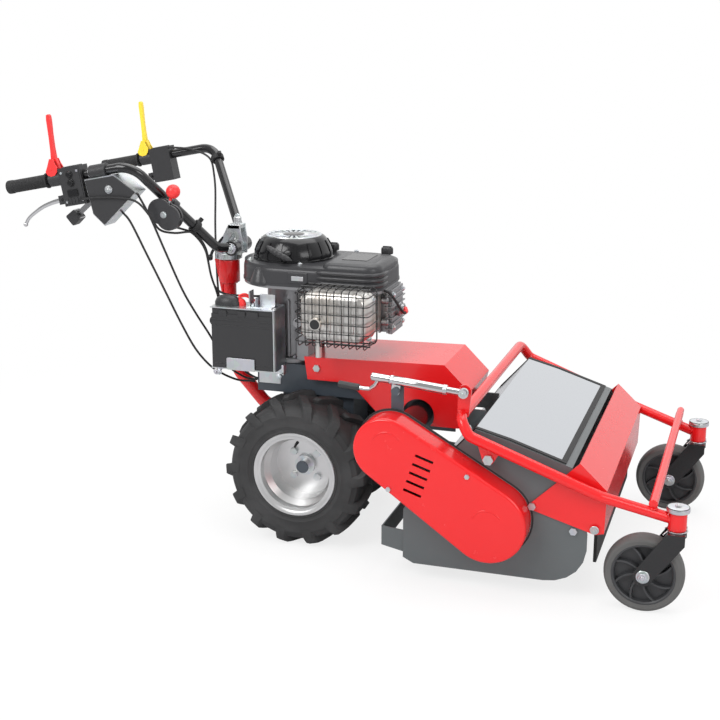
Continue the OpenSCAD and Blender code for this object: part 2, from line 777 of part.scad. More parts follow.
module drive_belts() color("black") placed() {
    across(-cutter_belt_y - belt_w / 2 + free_gap, belt_w / 2 - cutter_belt_y - free_gap) difference() {
        drive_shape(cross_pulley_r, rotor_pulley_r, belt_t);
        drive_shape(cross_pulley_r, rotor_pulley_r, free_gap);
    }
    translate([0, 0, belt_z - belt_w / 2 + free_gap]) linear_extrude(height = belt_w - 2 * free_gap)
        difference() {
        belt_shape([crank_x, 0], crank_pulley_r + belt_t, [cross_x, 0], input_pulley_r + belt_t);
        belt_shape([crank_x, 0], crank_pulley_r + free_gap, [cross_x, 0], input_pulley_r + free_gap);
    }
}

// Engine
block_r = 85;
plate_t = 8;
block_top_z = platform_z + shroud_rise - plate_t;
barrel_x = 205;
port_x = 137;
barrel_y = 46;
barrel_rise = 100;
barrel_z = platform_z + barrel_rise;
fin_t = 5;
fin_out = 14;
fin_count = 10;
plug_r = 16;
plug_l = 22;
flange_t = 12;
shroud_z = platform_z + shroud_rise;
shroud_wall = 3;
shroud_nose_x = 204;
shroud_near_r = 42;
shroud_far_r = 110;
filter_x = 36;
filter_h = 70;
filter_far_y = 60;
recoil_z = shroud_z + shroud_h;
flywheel_r = 92;
flywheel_t = 34;
pull_a = [-119, -122, 800];
pull_b = [-48, -122, 764];
pull_r = 8;
pull_way = [-0.6, -0.8, 0];
pull_stub = 18.6;
pull_rope_r = 3;
fuel_cap = [-5, 97];
oil_cap = [158, 84];
filler_neck_r = 10;
filler_r = 17;
filler_h = 20;

module engine_block() color("lightgray") placed() difference() {
    union() {
        translate([crank_x, 0, platform_z]) cylinder(r = block_r + over, h = flange_t);
        translate([crank_x, 0, platform_z]) cylinder(r = block_r - tyre_wall, h = block_top_z - platform_z);
        block([crank_x, -barrel_y, barrel_z], [barrel_x, barrel_y, block_top_z]);
        for (i = [0 : fin_count - 1])
            block([i * (barrel_x - fin_t) / (fin_count - 1), -barrel_y - fin_out, barrel_z],
                [i * (barrel_x - fin_t) / (fin_count - 1) + fin_t, barrel_y + fin_out, block_top_z]);
        translate([barrel_x - over, 0, (barrel_z + block_top_z) / 2]) rotate([0, 90, 0])
            cylinder(r = plug_r, h = plug_l + over);
        translate([0, 0, block_top_z]) linear_extrude(height = plate_t) shroud_plan(shroud_wall / 2);
    }
    translate([crank_x, 0, platform_z - over]) cylinder(r = crank_r + run_gap, h = block_top_z);
}

module crankshaft() color("gray") placed() translate([crank_x, 0, 0]) {
    translate([0, 0, base_z + over]) cylinder(r = crank_r,
        h = shroud_z + flywheel_t + tyre_wall - base_z - over);
    translate([0, 0, belt_z - pulley_w / 2]) pulley(crank_pulley_r);
    translate([0, 0, shroud_z + free_gap]) cylinder(r = flywheel_r, h = flywheel_t);
}

module shroud_plan(g) {
    near_y = shroud_near_r - shroud_r;
    far_y = shroud_r - shroud_far_r;
    translate([crank_x, 0]) circle(r = shroud_r - g);
    translate([crank_x, g - shroud_r]) square([shroud_nose_x - shroud_far_r - crank_x, 2 * (shroud_r - g)]);
    translate([crank_x, g - shroud_r]) square([shroud_nose_x - shroud_near_r - crank_x, shroud_r - g]);
    translate([crank_x, near_y]) square([shroud_nose_x - g - crank_x, far_y - near_y]);
    translate([shroud_nose_x - shroud_near_r, near_y]) circle(r = shroud_near_r - g);
    translate([shroud_nose_x - shroud_far_r, far_y]) circle(r = shroud_far_r - g);
}

module filter_plan(g) intersection() {
    shroud_plan(g);
    translate([filter_x + g, -shroud_r]) square([shroud_nose_x, shroud_r + filter_far_y - g]);
}

module engine_shroud() color("dimgray") placed() difference() {
    translate([0, 0, shroud_z]) {
        linear_extrude(height = shroud_h) shroud_plan(0);
        linear_extrude(height = filter_h) filter_plan(0);
    }
    translate([0, 0, shroud_z - over]) {
        linear_extrude(height = shroud_h - shroud_wall + over) shroud_plan(shroud_wall);
        linear_extrude(height = filter_h - shroud_wall + over) filter_plan(shroud_wall);
    }
    translate([crank_x, 0, shroud_z]) cylinder(r = recoil_r - tyre_wall, h = 2 * shroud_h);
}

module recoil_cover() {
    profile_shares = [[1, 0], [1, 0.34], [0.94, 0.6], [0.82, 0.86], [0.7, 1], [0, 1]];
    outer = [for (s = profile_shares) [s[0] * recoil_r, s[1] * recoil_h]];
    color("black") placed() translate([crank_x, 0, recoil_z]) {
        rotate_extrude() polygon(concat(outer, [[0, recoil_h - shroud_wall]],
            [for (i = [len(outer) - 2 : -1 : 0]) [outer[i][0] - shroud_wall,
                max(0, outer[i][1] - shroud_wall)]]));
    }
}

// Starter handle resting against its rope guide
module starter_grip() color("black") placed() {
    d = pull_b - pull_a;
    mid = (pull_a + pull_b) / 2;
    translate(pull_a) rotate([0, acos(unit(d)[2]), atan2(d[1], d[0])]) cylinder(r = pull_r, h = norm(d));
    bar_along([mid, mid - pull_stub * pull_way], pull_rope_r, cable_sides, [0, 0, 1]);
}

module filler_caps() color("black") placed() for (p = [fuel_cap, oil_cap])
    translate([p[0], p[1], recoil_z]) {
    cylinder(r = filler_neck_r, h = filler_h);
    translate([0, 0, filler_h / 4]) cylinder(r = filler_r, h = filler_h, $fn = 12);
}

muffler_x = 5;
muffler_rise = 94;
muffler_z = platform_z + muffler_rise;
muffler_y = 143;
muffler_corner_r = 26;
outlet_x = 54;
outlet_rise = 57;
outlet_z = muffler_z + outlet_rise;
outlet_l = 14;
outlet_wall = 3;
wire_r = 2;
wire_gap = 8;
wire_columns = 8;
wire_rows = 6;

module muffler_plan(g) {
    for (x = [muffler_x + muffler_corner_r, muffler_x + muffler_l - muffler_corner_r],
        z = [muffler_z + muffler_corner_r, muffler_z + muffler_h - muffler_corner_r])
        translate([x, z]) circle(r = muffler_corner_r + g);
    translate([muffler_x - g, muffler_z + muffler_corner_r])
        square([muffler_l + 2 * g, muffler_h - 2 * muffler_corner_r]);
    translate([muffler_x + muffler_corner_r, muffler_z - g])
        square([muffler_l - 2 * muffler_corner_r, muffler_h + 2 * g]);
}

module muffler() color("silver") placed() difference() {
    union() {
        across(-muffler_y - muffler_w, -muffler_y) muffler_plan(0);
        pin_y(outlet_x, outlet_z, -muffler_y - muffler_w - outlet_l, -muffler_y - over,
            outlet_d / 2 + outlet_wall);
        pin_y(port_x, muffler_z + muffler_h / 2, -muffler_y - over, -barrel_y - fin_out, cap_r);
    }
    across(-muffler_y - muffler_w + outlet_wall, -muffler_y - outlet_wall) muffler_plan(-outlet_wall);
    pin_y(outlet_x, outlet_z, -muffler_y - muffler_w - outlet_l - over, -muffler_y - outlet_wall - over,
        outlet_d / 2);
}

module wire_y(x, z, y0, y1) translate([x, y1, z]) rotate([90, 0, 0])
    cylinder(r = wire_r, h = y1 - y0, $fn = 8);

module muffler_guard() {
    x0 = muffler_x - wire_gap;
    x1 = muffler_x + muffler_l + wire_gap;
    z0 = muffler_z - wire_gap;
    z1 = muffler_z + muffler_h + wire_gap;
    y0 = -muffler_y - muffler_w - wire_gap;
    y1 = -muffler_y;
    color("black") placed() difference() {
        union() {
            for (i = [0 : wire_columns - 1]) {
                x = x0 + i * (x1 - x0) / (wire_columns - 1);
                translate([x, y0, z0]) cylinder(r = wire_r, h = z1 - z0, $fn = 8);
                for (z = [z0, z1])
                    wire_y(x, z, y0, y1);
            }
            for (i = [0 : wire_rows - 1]) {
                z = z0 + i * (z1 - z0) / (wire_rows - 1);
                translate([x0, y0, z]) rotate([0, 90, 0]) cylinder(r = wire_r, h = x1 - x0, $fn = 8);
                for (x = [x0, x1])
                    wire_y(x, z, y0, y1);
            }
            for (z = [z0, z1])
                translate([x0 - wire_r, y1 - wire_r, z - wire_r])
                    cube([x1 - x0 + 2 * wire_r, 2 * wire_r, 2 * wire_r]);
            for (x = [x0, x1])
                translate([x - wire_r, y1 - wire_r, z0]) cube([2 * wire_r, 2 * wire_r, z1 - z0]);
            for (z = [z0, z1 - wire_gap])
                translate([muffler_x + muffler_l / 2, y1 - wire_r, z])
                    cube([wire_gap, 2 * wire_r, wire_gap]);
        }
        pin_y(outlet_x, outlet_z, y0 - wire_gap, y0 + wire_gap, outlet_d / 2 + outlet_wall + wire_gap);
    }
}

battery_x = -265;
battery_z = 465;
battery_gap = 4;
battery_y = side_y + battery_gap;
tray_t = 3;

module battery() color("black") placed() {
    block([battery_x, -battery_y - battery_w, battery_z],
        [battery_x + battery_l, -battery_y, battery_z + battery_h - cap_l]);
    block([battery_x + over, over - battery_y - battery_w, battery_z + battery_h - cap_l],
        [battery_x + battery_l - over, -battery_y - over, battery_z + battery_h]);
}

// Zinc tray, bent from sheet: floor, back, side and top with a lip that holds the battery
module battery_tray() {
    x0 = battery_x - over;
    x1 = battery_x + battery_l + seat_gap;
    y0 = -battery_y - battery_w - tray_t - seat_gap;
    y1 = -side_y;
    z1 = battery_z + battery_h + seat_gap;
    color("gainsboro") placed() {
        block([x0, y0, battery_z - tray_t], [x1 + tray_t, y1, battery_z]);
        block([x0, y1 - tray_t, belt_z], [x1 + tray_t, y1, z1 + tray_t]);
        block([x1, y0, battery_z - tray_t], [x1 + tray_t, y1, z1 + tray_t]);
        block([x0, y0, z1], [x1 + tray_t, y1, z1 + tray_t]);
        block([x0 + battery_l / 4, y0, battery_z - tray_t],
            [x0 + battery_l * 0.7, y0 + tray_t, battery_z + nose_r]);
    }
}

// Deck, with its belt side plate, rear guard and the neck that joins it to the chassis
module mower_deck() color("darkslategray") placed() difference() {
    union() {
        for (s = [right, left]) on_side(s) {
            across(-deck_y, deck_t - deck_y) polygon(spread(deck_shares, deck_x, deck_z, deck_l, deck_h));
            across(deck_t - deck_y, 2 * deck_t - deck_y)
                polygon(spread(guard_shares, deck_x, deck_z, deck_l, deck_h));
            across(-neck_y, neck_t - neck_y)
                polygon([[neck_x, neck_z], [neck_x, neck_z + neck_h], on_sheet(neck_top_share),
                    on_sheet(neck_low_share)]);
        }
        across(-deck_y, deck_t - deck_y) drive_shape(cover_top_r, cover_low_r, plate_lip);
        across(deck_t - deck_y, deck_y - deck_t)
            polygon(folded(back(spread(sheet_shares, deck_x, deck_z, deck_l, deck_h)), deck_t));
        across(deck_t - deck_y, deck_y - deck_t)
            polygon(folded(back([for (i = [0, 1]) spread(guard_shares, deck_x, deck_z, deck_l, deck_h)[i]]),
                -deck_t));
    }
    for (s = [right, left]) on_side(s) {
        pin_y(rotor_x, rotor_z, -deck_y - over, deck_t - deck_y + over, rotor_shaft_r + free_gap);
        pin_y(frame_pivot_x, frame_pivot_z, -deck_y - over, deck_t - deck_y + over,
            frame_bolt_r + seat_gap);
        pin_y(flap_pivot_x, flap_pivot_z, -deck_y - over, deck_t - deck_y + over, pivot_r + seat_gap);
        pin_y(hitch_x, hitch_z, -neck_y - over, neck_t - neck_y + over, hitch_r + seat_gap);
        pin_y(stop_x, stop_z, -deck_y - over, deck_t - deck_y + over, pivot_r + seat_gap);
    }
    pin_y(cross_x, cross_z, -deck_y - over, deck_t - deck_y + over, cross_r + free_gap);
}

module belt_cover() {
    at = [cross_x + slot_share * (rotor_x - cross_x), -cover_y, cross_z + slot_share * (rotor_z - cross_z)];
    color("red") placed() difference() {
        across(-cover_y, -deck_y) drive_shape(cover_top_r, cover_low_r, 0);
        across(cover_t - cover_y, over - deck_y) drive_shape(cover_top_r, cover_low_r, -cover_t);
        translate(at) rotate([0, slot_lean, 0]) for (i = [0 : slot_count - 1])
            translate([-slot_l / 2, -over, (i - (slot_count - 1) / 2) * slot_step - slot_w / 2])
                cube([slot_l, cover_t + 2 * over, slot_w]);
    }
}

// Bolt along Y: a hexagon head whose outer face is at y0, and a shank to y1
module bolt_y(x, z, y0, y1, r) {
    pin_y(x, z, y0, y1, r);
    translate([x, y0 + r, z]) rotate([90, 0, 0]) cylinder(r = 1.7 * r, h = r, $fn = 6);
}

module fasteners() color("gainsboro") placed() {
    for (s = [right, left]) on_side(s) {
        bolt_y(frame_pivot_x, frame_pivot_z, -ear_y - ear_t - frame_bolt_r - free_gap, deck_t - deck_y,
            frame_bolt_r);
        pin_y(frame_pivot_x, frame_pivot_z, free_gap - ear_y, -deck_y, frame_bolt_r + pivot_r);
        bolt_y(flap_pivot_x, flap_pivot_z, -fronthood_y - pivot_r - free_gap, deck_t - deck_y, pivot_r);
        bolt_y(stop_x, stop_z, -deck_y - pivot_r, deck_t - deck_y, pivot_r);
        bolt_y(hitch_x, hitch_z, -side_y - hitch_r, neck_t - neck_y, hitch_r);
        bolt_y(hood_bolt_x, hood_bolt_z, -hood_y - pivot_r, hood_t - hood_y, pivot_r);
        pin_y(hood_bolt_x, platform_z - platform_t - pivot_r - over, hood_t - hood_y, -side_y, pivot_r);
    }
    screw_shares = [[0.808, 1.107], [0.0423, -1.1]];
    for (p = screw_shares)
        bolt_y(cross_x + p[0] * (rotor_x - cross_x),
            cross_z + p[0] * (rotor_z - cross_z) + p[1] * cover_top_r,
            -cover_y - cover_screw_r, -cover_y, cover_screw_r);
}

module rotor_bearings() color("gray") placed() for (s = [right, left]) on_side(s) difference() {
    pin_y(rotor_x, rotor_z, deck_t - deck_y, deck_t + bearing_t - deck_y, bearing_r);
    pin_y(rotor_x, rotor_z, -deck_y, deck_t + bearing_t - deck_y + over, rotor_shaft_r + run_gap);
}

rotor_y = deck_y - deck_t - bearing_t - rotor_gap;
rotor_wall = 6;
rod_out = 65;
flail_rod_r = 6;
ear_w = 6;
ear_wide = 22;
flail_w = 34;
flail_t = 6;
flail_pitch = 2 * (rotor_y - flail_w - ear_w) / (flail_count - 1);

module flail_rotor() color("dimgray") placed() difference() {
    union() {
        difference() {
            pin_y(rotor_x, rotor_z, -rotor_y, rotor_y, rotor_r);
            pin_y(rotor_x, rotor_z, bearing_t - rotor_y, rotor_y - bearing_t, rotor_r - rotor_wall);
        }
        pin_y(rotor_x, rotor_z, -cutter_belt_y - pulley_w / 2, over - rotor_y, rotor_shaft_r);
        pin_y(rotor_x, rotor_z, rotor_y - over, deck_y, rotor_shaft_r);
        translate([rotor_x, pulley_w / 2 - cutter_belt_y, rotor_z]) rotate([90, 0, 0])
            pulley(rotor_pulley_r);
        for (s = [right, left], y = [-rotor_y, rotor_y - ear_w]) {
            block([rotor_x + min(0, s * rod_out), y, rotor_z - ear_wide / 2],
                [rotor_x + max(0, s * rod_out), y + ear_w, rotor_z + ear_wide / 2]);
            pin_y(rotor_x + s * rod_out, rotor_z, y, y + ear_w, ear_wide / 2);
        }
    }
    for (s = [right, left])
        pin_y(rotor_x + s * rod_out, rotor_z, -rotor_y - over, rotor_y + over, flail_rod_r + run_gap);
}

// Row of flails hanging from its rod
module flail_row(s) color("slategray") placed() translate([rotor_x + s * rod_out, 0, rotor_z]) {
    pin_y(0, 0, -rotor_y, rotor_y, flail_rod_r);
    for (i = [0 : flail_count - 1])
        translate([0, (i - (flail_count - 1) / 2) * flail_pitch, 0]) {
            pin_y(0, 0, -flail_w / 2, flail_w / 2, flail_rod_r + flail_t);
            block([-flail_t / 2, -flail_w / 2, -flail_l], [flail_t / 2, flail_w / 2, 0]);
        }
}
module flails_front() flail_row(1);
module flails_rear() flail_row(-1);

// Front hood
module front_hood() color("red") placed() difference() {
    union() {
        for (s = [right, left])
            on_side(s) across(-fronthood_y, fronthood_t - fronthood_y)
                polygon(spread(front_side_shares, flap_pivot_x, flap_pivot_z, front_l, front_h));
        for (s = [right, left])
            on_side(s) pin_y(flap_pivot_x, flap_pivot_z, -fronthood_y, fronthood_t - fronthood_y,
                pivot_r + hood_ear);
        across(-fronthood_y, fronthood_y)
            polygon(folded(spread(front_sheet_shares, flap_pivot_x, flap_pivot_z, front_l, front_h),
                fronthood_t));
        pin_y(flap_rod_x, flap_rod_z, -fronthood_y - flap_rod_r, fronthood_y + flap_rod_r, flap_rod_r);
    }
    for (s = [right, left])
        on_side(s) pin_y(flap_pivot_x, flap_pivot_z, -fronthood_y - over, fronthood_t - fronthood_y + over,
            pivot_r + run_gap);
}

module hood_flap() color("black") placed() difference() {
    union() {
        pin_y(flap_rod_x, flap_rod_z, -flap_half, flap_half, flap_eye_r);
        block([flap_rod_x - flap_t / 2, -flap_half, flap_rod_z - flap_h],
            [flap_rod_x + flap_t / 2, flap_half, flap_rod_z]);
    }
    pin_y(flap_rod_x, flap_rod_z, -flap_half - over, flap_half + over, flap_rod_r + run_gap);
}

// Caster frame: one bent tube with heads, pivot ears, front bar and the spindle arm
module caster_frame() {
    half = rounded(frame_path, corner_bend, 4);
    color("red") placed() difference() {
        union() {
            tube_along(concat(half, flip(back(half))), frame_r, frame_wall, 14, [0, 0, 1]);
            for (s = [right, left]) on_side(s) {
                translate([head_x, -head_y, head_low_z]) cylinder(r = head_r, h = head_h);
                across(-ear_y - ear_t, -ear_y)
                    polygon([[frame_pivot_x - ear_half, frame_pivot_z - ear_half],
                        [frame_pivot_x + ear_half, frame_pivot_z - ear_half],
                        [frame_pivot_x + ear_spread, tube_z(frame_pivot_x + ear_spread)],
                        [frame_pivot_x - ear_spread, tube_z(frame_pivot_x - ear_spread)]]);
            }
            pin_y(front_bar_x, front_bar_z, -head_y - frame_r, bar_overhang - bar_end_l, front_bar_r);
            pin_y(front_bar_x, front_bar_z, -head_y, bar_overhang, bar_end_r);
            across(arm_t - arm_y - arm_t, arm_t - arm_y)
                polygon([[arm_x - arm_w / 2, arm_z + arm_w / 2], [arm_x + arm_w / 2, arm_z + arm_w / 2],
                [arm_x + arm_w / 3, frame_path[3][2]], [arm_x - arm_w / 2, frame_path[3][2]]]);
            pin_y(arm_x, arm_z, -spindle_y - lug_half - free_gap, -arm_y, lug_pin_r);
            pin_y(arm_x, arm_z, free_gap + lug_half - spindle_y, -arm_y, washer_r);
            pin_y(arm_x, arm_z, -spindle_y - lug_half - lug_pin_r - free_gap,
                -spindle_y - lug_half - free_gap, washer_r);
        }
        for (s = [right, left]) on_side(s) {
            translate([head_x, -head_y, head_low_z - over])
                cylinder(r = stem_r + run_gap, h = head_h + 2 * over);
            pin_y(frame_pivot_x, frame_pivot_z, -ear_y - ear_t - over, over - ear_y,
                frame_bolt_r + run_gap);
        }
    }
}

// Casters
module fork() {
    leg = [[axle_x - fork_hub_r * 0.8, caster_r + fork_hub_r * 0.6],
        [axle_x + fork_hub_r * 0.6, caster_r - fork_hub_r * 0.8],
        [head_x + fork_bridge_l / 2, fork_top_z - fork_bridge_l * 0.6],
            [head_x + fork_bridge_l / 2, fork_top_z],
        [head_x - fork_bridge_l / 2, fork_top_z]];
    color("black") placed() translate([0, 0, 0]) {
        for (s = [right, left]) translate([0, -head_y, 0]) on_side(s) {
            across(-fork_y - fork_t, -fork_y) {
                polygon(leg);
                translate([axle_x, caster_r]) circle(r = fork_hub_r);
            }
        }
        translate([0, -head_y, 0]) {
            block([head_x - fork_bridge_l / 2, -fork_y - fork_t, fork_top_z - fork_t],
                [head_x + fork_bridge_l / 2, fork_y + fork_t, fork_top_z]);
            pin_y(axle_x, caster_r, -fork_y - 2 * fork_t, fork_y + 2 * fork_t, caster_axle_r);
        }
        translate([head_x, -head_y, 0]) {
            translate([0, 0, fork_top_z - over]) cylinder(r = stem_r,
                h = head_low_z + head_h + free_gap + over - fork_top_z + over);
            translate([0, 0, head_low_z + head_h + free_gap]) cylinder(r = cap_top_r, h = cap_top_h);
        }
    }
}
module fork_right() fork();
module fork_left() on_side(left) fork();

module caster_hub() color("dimgray") placed() translate([axle_x, -head_y, caster_r]) rotate([90, 0, 0])
    difference() {
    union() {
        difference() {
            cylinder(r = caster_hub_r, h = caster_w * 0.9, center = true);
            cylinder(r = caster_hub_r - caster_rim_t, h = caster_w, center = true);
        }
        cylinder(r = caster_hub_r - over, h = caster_web_t, center = true);
        cylinder(r = caster_boss_r, h = caster_w, center = true);
        for (i = [0 : spoke_count - 1])
            rotate([0, 0, i * 360 / spoke_count]) translate([caster_boss_r - over, -spoke_t / 2,
                -caster_w * 0.36])
                cube([caster_hub_r - caster_boss_r, spoke_t, caster_w * 0.72]);
    }
    cylinder(r = caster_axle_r + run_gap, h = caster_w + over, center = true);
}
module caster_hub_right() caster_hub();
module caster_hub_left() on_side(left) caster_hub();

module caster_tread() color("gray") placed() translate([axle_x, -head_y, caster_r]) rotate([90, 0, 0])
    rotate_extrude() polygon([[caster_hub_r + seat_gap, -caster_w * 0.45],
        [caster_r - tread_t / 2, -caster_w / 2],
        [caster_r - tread_t / 6, -caster_w * 0.36], [caster_r, -caster_w * 0.12],
            [caster_r, caster_w * 0.12],
        [caster_r - tread_t / 6, caster_w * 0.36], [caster_r - tread_t / 2, caster_w / 2],
            [caster_hub_r + seat_gap, caster_w * 0.45]]);
module caster_tread_right() caster_tread();
module caster_tread_left() on_side(left) caster_tread();

// Height spindle
module height_post() color("slategray") placed() {
    across(deck_t - deck_y, deck_t + post_t - deck_y)
        polygon([[post_x - post_w / 2, post_low_z], [post_x + post_w / 2, post_low_z],
        [post_x + post_w / 2, post_z + lug_r], [post_x - post_w / 2, post_z + lug_r]]);
    pin_y(post_x, post_z, -spindle_y - lug_half - free_gap, deck_t - deck_y, lug_pin_r);
    pin_y(post_x, post_z, -spindle_y - lug_half - lug_pin_r - free_gap, -spindle_y - lug_half - free_gap,
        1.7 * lug_pin_r);
}

module spindle_frame() placed() translate([post_x, -spindle_y, post_z]) rotate([0, spindle_tilt, 0])
    children();
module along_spindle(x0, x1, r) translate([x0, 0, spindle_rise]) rotate([0, 90, 0])
    cylinder(r = r, h = x1 - x0);

module spindle_tube() color("silver") spindle_frame() difference() {
    union() {
        along_spindle(tube_rear_x, tube_front_x, spindle_r);
        pin_y(0, 0, -lug_half, lug_half, lug_r);
        block([-lug_r, -lug_half, 0], [lug_r, lug_half, spindle_rise - spindle_r / 2]);
    }
    along_spindle(tube_rear_x - over, tube_front_x + over, spindle_bore_r);
    pin_y(0, 0, -lug_half - over, lug_half + over, lug_pin_r + run_gap);
}

module spindle_rod() color("silver") spindle_frame() difference() {
    union() {
        along_spindle(eye_x * 0.24, eye_x - washer_r - free_gap, rod_r);
        pin_y(eye_x, spindle_rise, -lug_half, lug_half, eye_r);
    }
    along_spindle(eye_x * 0.24 - over, eye_x * 0.7, screw_r + screw_gap);
    pin_y(eye_x, spindle_rise, -lug_half - over, lug_half + over, lug_pin_r + eye_gap);
}

module crank_handle() color("silver") spindle_frame() {
    along_spindle(tube_rear_x - free_gap - crank_hub_l, tube_rear_x - free_gap, crank_hub_r);
    along_spindle(tube_rear_x - over, eye_x * 0.06, rod_r);
    along_spindle(eye_x * 0.05, eye_x * 0.45, screw_r);
    translate([0, 0, spindle_rise]) {
        bar_along(crank_path, crank_rod_r, 10, [0, 1, 0]);
        translate(crank_path[4]) rotate([0, -90, 0]) cylinder(r = crank_grip_r, h = crank_grip_l);
    }
}

// Steering head and handlebar
module swivel_head() color("silver") placed() {
    translate([swivel_x, 0, column_z - swivel_stem_l])
        cylinder(r = swivel_stem_r, h = swivel_stem_l + over);
    translate([swivel_x, 0, column_z + free_gap]) cylinder(r = swivel_r, h = swivel_h);
    across(-yoke_half, yoke_half) polygon([[swivel_x - yoke_l / 2, column_z + swivel_h - over],
        [swivel_x + swivel_r, column_z + swivel_h - over],
        [tilt_x + tilt_hub_r, tilt_z], [tilt_x + yoke_l / 2, tilt_z + yoke_rise],
            [tilt_x - yoke_l / 2, tilt_z + yoke_rise]]);
    pin_y(tilt_x, tilt_z, -yoke_half - tilt_hub_w, yoke_half + tilt_hub_w, tilt_pin_r);
    bar_along([for (p = lock_path) p + [tilt_x, 0, tilt_z]], lock_rod_r, cable_sides, [0, 1, 0]);
}

function bar_path(y_hub) = [[tilt_x, -y_hub, tilt_z], [bar_low_x, -bar_low_y, tilt_z + bar_low_rise],
    [bar_bend_x, -grip_y, bar_bend_z],
    [grip_end_x + grip_rib * cos(bar_pitch), -grip_y, grip_z + grip_rib * sin(bar_pitch)]];
function bar_route() = let (p = bar_path(yoke_half + tilt_hub_w / 2))
    concat([p[0]], arc(p[0], p[1], p[2], bar_low_r, 3), arc(p[1], p[2], p[3], bar_bend_r, 6), [p[3]]);

module handlebar() color("black") placed() difference() {
    union() {
        tube_along(bar_route(), bar_r, bar_wall, 16, [0, 0, 1]);
        pin_y(tilt_x, tilt_z, -yoke_half - tilt_hub_w, -yoke_half - free_gap, tilt_hub_r);
    }
    pin_y(tilt_x, tilt_z, -yoke_half - tilt_hub_w - over, over - yoke_half, tilt_pin_r + run_gap);
}
module handlebar_right() handlebar();
module handlebar_left() on_side(left) handlebar();

// Places a piece at the distance s along the straight rear run of a bar, from its end
module at_bar(s) translate([grip_end_x, -grip_y, grip_z]) rotate([0, -bar_pitch, 0]) translate([s, 0, 0])
    children();
module on_bar(s) placed() at_bar(s) children();
module along_bar(x0, x1, r) translate([x0, 0, 0]) rotate([0, 90, 0]) cylinder(r = r, h = x1 - x0);

module grip() color("black") on_bar(0) difference() {
    union() {
        along_bar(0, grip_l, grip_d / 2);
        along_bar(0, grip_l / 8, grip_d / 2 + grip_rib);
        along_bar(grip_l * 0.93, grip_l, grip_d / 2 + grip_rib);
    }
    along_bar(grip_rib, grip_l + over, bar_r + seat_gap);
}
module grip_right() grip();
module grip_left() on_side(left) grip();

// Switch block clamped on the bar, with the lever's pivot collar
module switch_block(cable) color("black") placed() difference() {
    at_bar(0) difference() {
        union() {
            block([block_s, -block_w / 2, -block_down], [block_s + block_l, block_w / 2, block_up]);
            along_bar(lever_s - collar_l / 2, block_s + over, collar_r);
            block([lever_s - lever_w, -lever_w / 2 - 2 * over, bar_r],
                [lever_s + lever_w, lever_w / 2 + 2 * over, lever_rise + lever_w]);
            block([clutch_s - lever_w, -lever_w, -clutch_drop - lever_w],
                [block_s + over, lever_w, lever_w - clutch_drop]);
        }
        along_bar(lever_s - collar_l, block_s + block_l + over, bar_r + seat_gap);
        block([lever_s - 2 * lever_w, -lever_w / 2 - free_gap, bar_r + over],
            [lever_s + 2 * lever_w, lever_w / 2 + free_gap, lever_rise + 2 * lever_w]);
        pin_y(lever_s, lever_rise, -block_w, block_w, lever_pin_r + run_gap);
        block([clutch_s - 2 * lever_w, -clutch_r - free_gap, -clutch_drop - 2 * lever_w],
            [block_s, clutch_r + free_gap, 2 * lever_w - clutch_drop]);
        pin_y(clutch_s, -clutch_drop, -block_w, block_w, clutch_pin_r + run_gap);
    }
    cable_hole(cable[0], cable[1]);
}
module switch_right() switch_block(clutch_cable_top);
module switch_left() on_side(left) switch_block(flip(drive_cable_top));

module bar_lever() {
    blade_shares = [[-0.08, -0.03], [-0.03, -0.08], [0.07, -0.08], [0.13, -0.02], [0.13, 0.07], [0.1, 0.18],
        [0.11, 0.4], [0.135, 0.65], [0.17, 0.9], [0.175, 1], [0.15, 1.03], [0.11, 1.02], [0.09, 0.93],
        [0.06, 0.6], [0.03, 0.35], [0, 0.18], [-0.08, 0.06]];
    on_bar(lever_s) {
        across(-lever_w / 2, lever_w / 2) polygon(spread(blade_shares, 0, lever_rise, lever_l, lever_l));
        pin_y(0, lever_rise, -lever_w / 2 - 2 * over, lever_w / 2 + 2 * over, lever_pin_r);
    }
}
module stop_lever() color("red") bar_lever();
module drive_lever() color("gold") on_side(left) bar_lever();

module clutch_lever() color("silver") on_bar(clutch_s) translate([0, 0, -clutch_drop]) {
    bar_along(clutch_path, clutch_r, 10, [0, 1, 0]);
    pin_y(0, 0, -lever_w, lever_w, clutch_pin_r);
    pin_y(0, 0, -clutch_r, clutch_r, 2 * clutch_pin_r);
}

module console_box() color("dimgray") placed() difference() {
    at_bar(console_s) difference() {
        union() {
            across(-console_w / 2, console_w / 2) polygon(spread(console_shares, 0, -console_drop,
                console_l, console_h));
            along_bar(0, console_l / 3, collar_r);
        }
        along_bar(-over, console_l, bar_r + seat_gap);
        pin_y(shift_pin_s - console_s, -shift_pin_drop, -console_w, console_w, shift_pin_r + run_gap);
    }
    for (p = [console_cable_top, second_cable_top])
        cable_hole(p[0], p[1]);
}

// Hole that a cable's first straight stretch enters
module cable_hole(a, b) {
    d = unit(b - a);
    translate(a - over * d) rotate([0, acos(d[2]), atan2(d[1], d[0])])
        cylinder(r = cable_r + seat_gap, h = norm(b - a) + 4 * over);
}

module shift_lever() color("silver") on_bar(shift_pin_s) translate([0, shift_y, -shift_pin_drop]) {
    pin_y(0, 0, -shift_y - console_w / 2, 0, shift_pin_r);
    rotate([0, 180 - shift_angle, 0]) {
        block([-shift_w / 2, -shift_t, -shift_w / 2], [shift_l, 0, shift_w / 2]);
        block([shift_l - over, -shift_knob / 2, -shift_knob / 2],
            [shift_l + shift_knob, shift_knob / 2, shift_knob / 2]);
    }
}

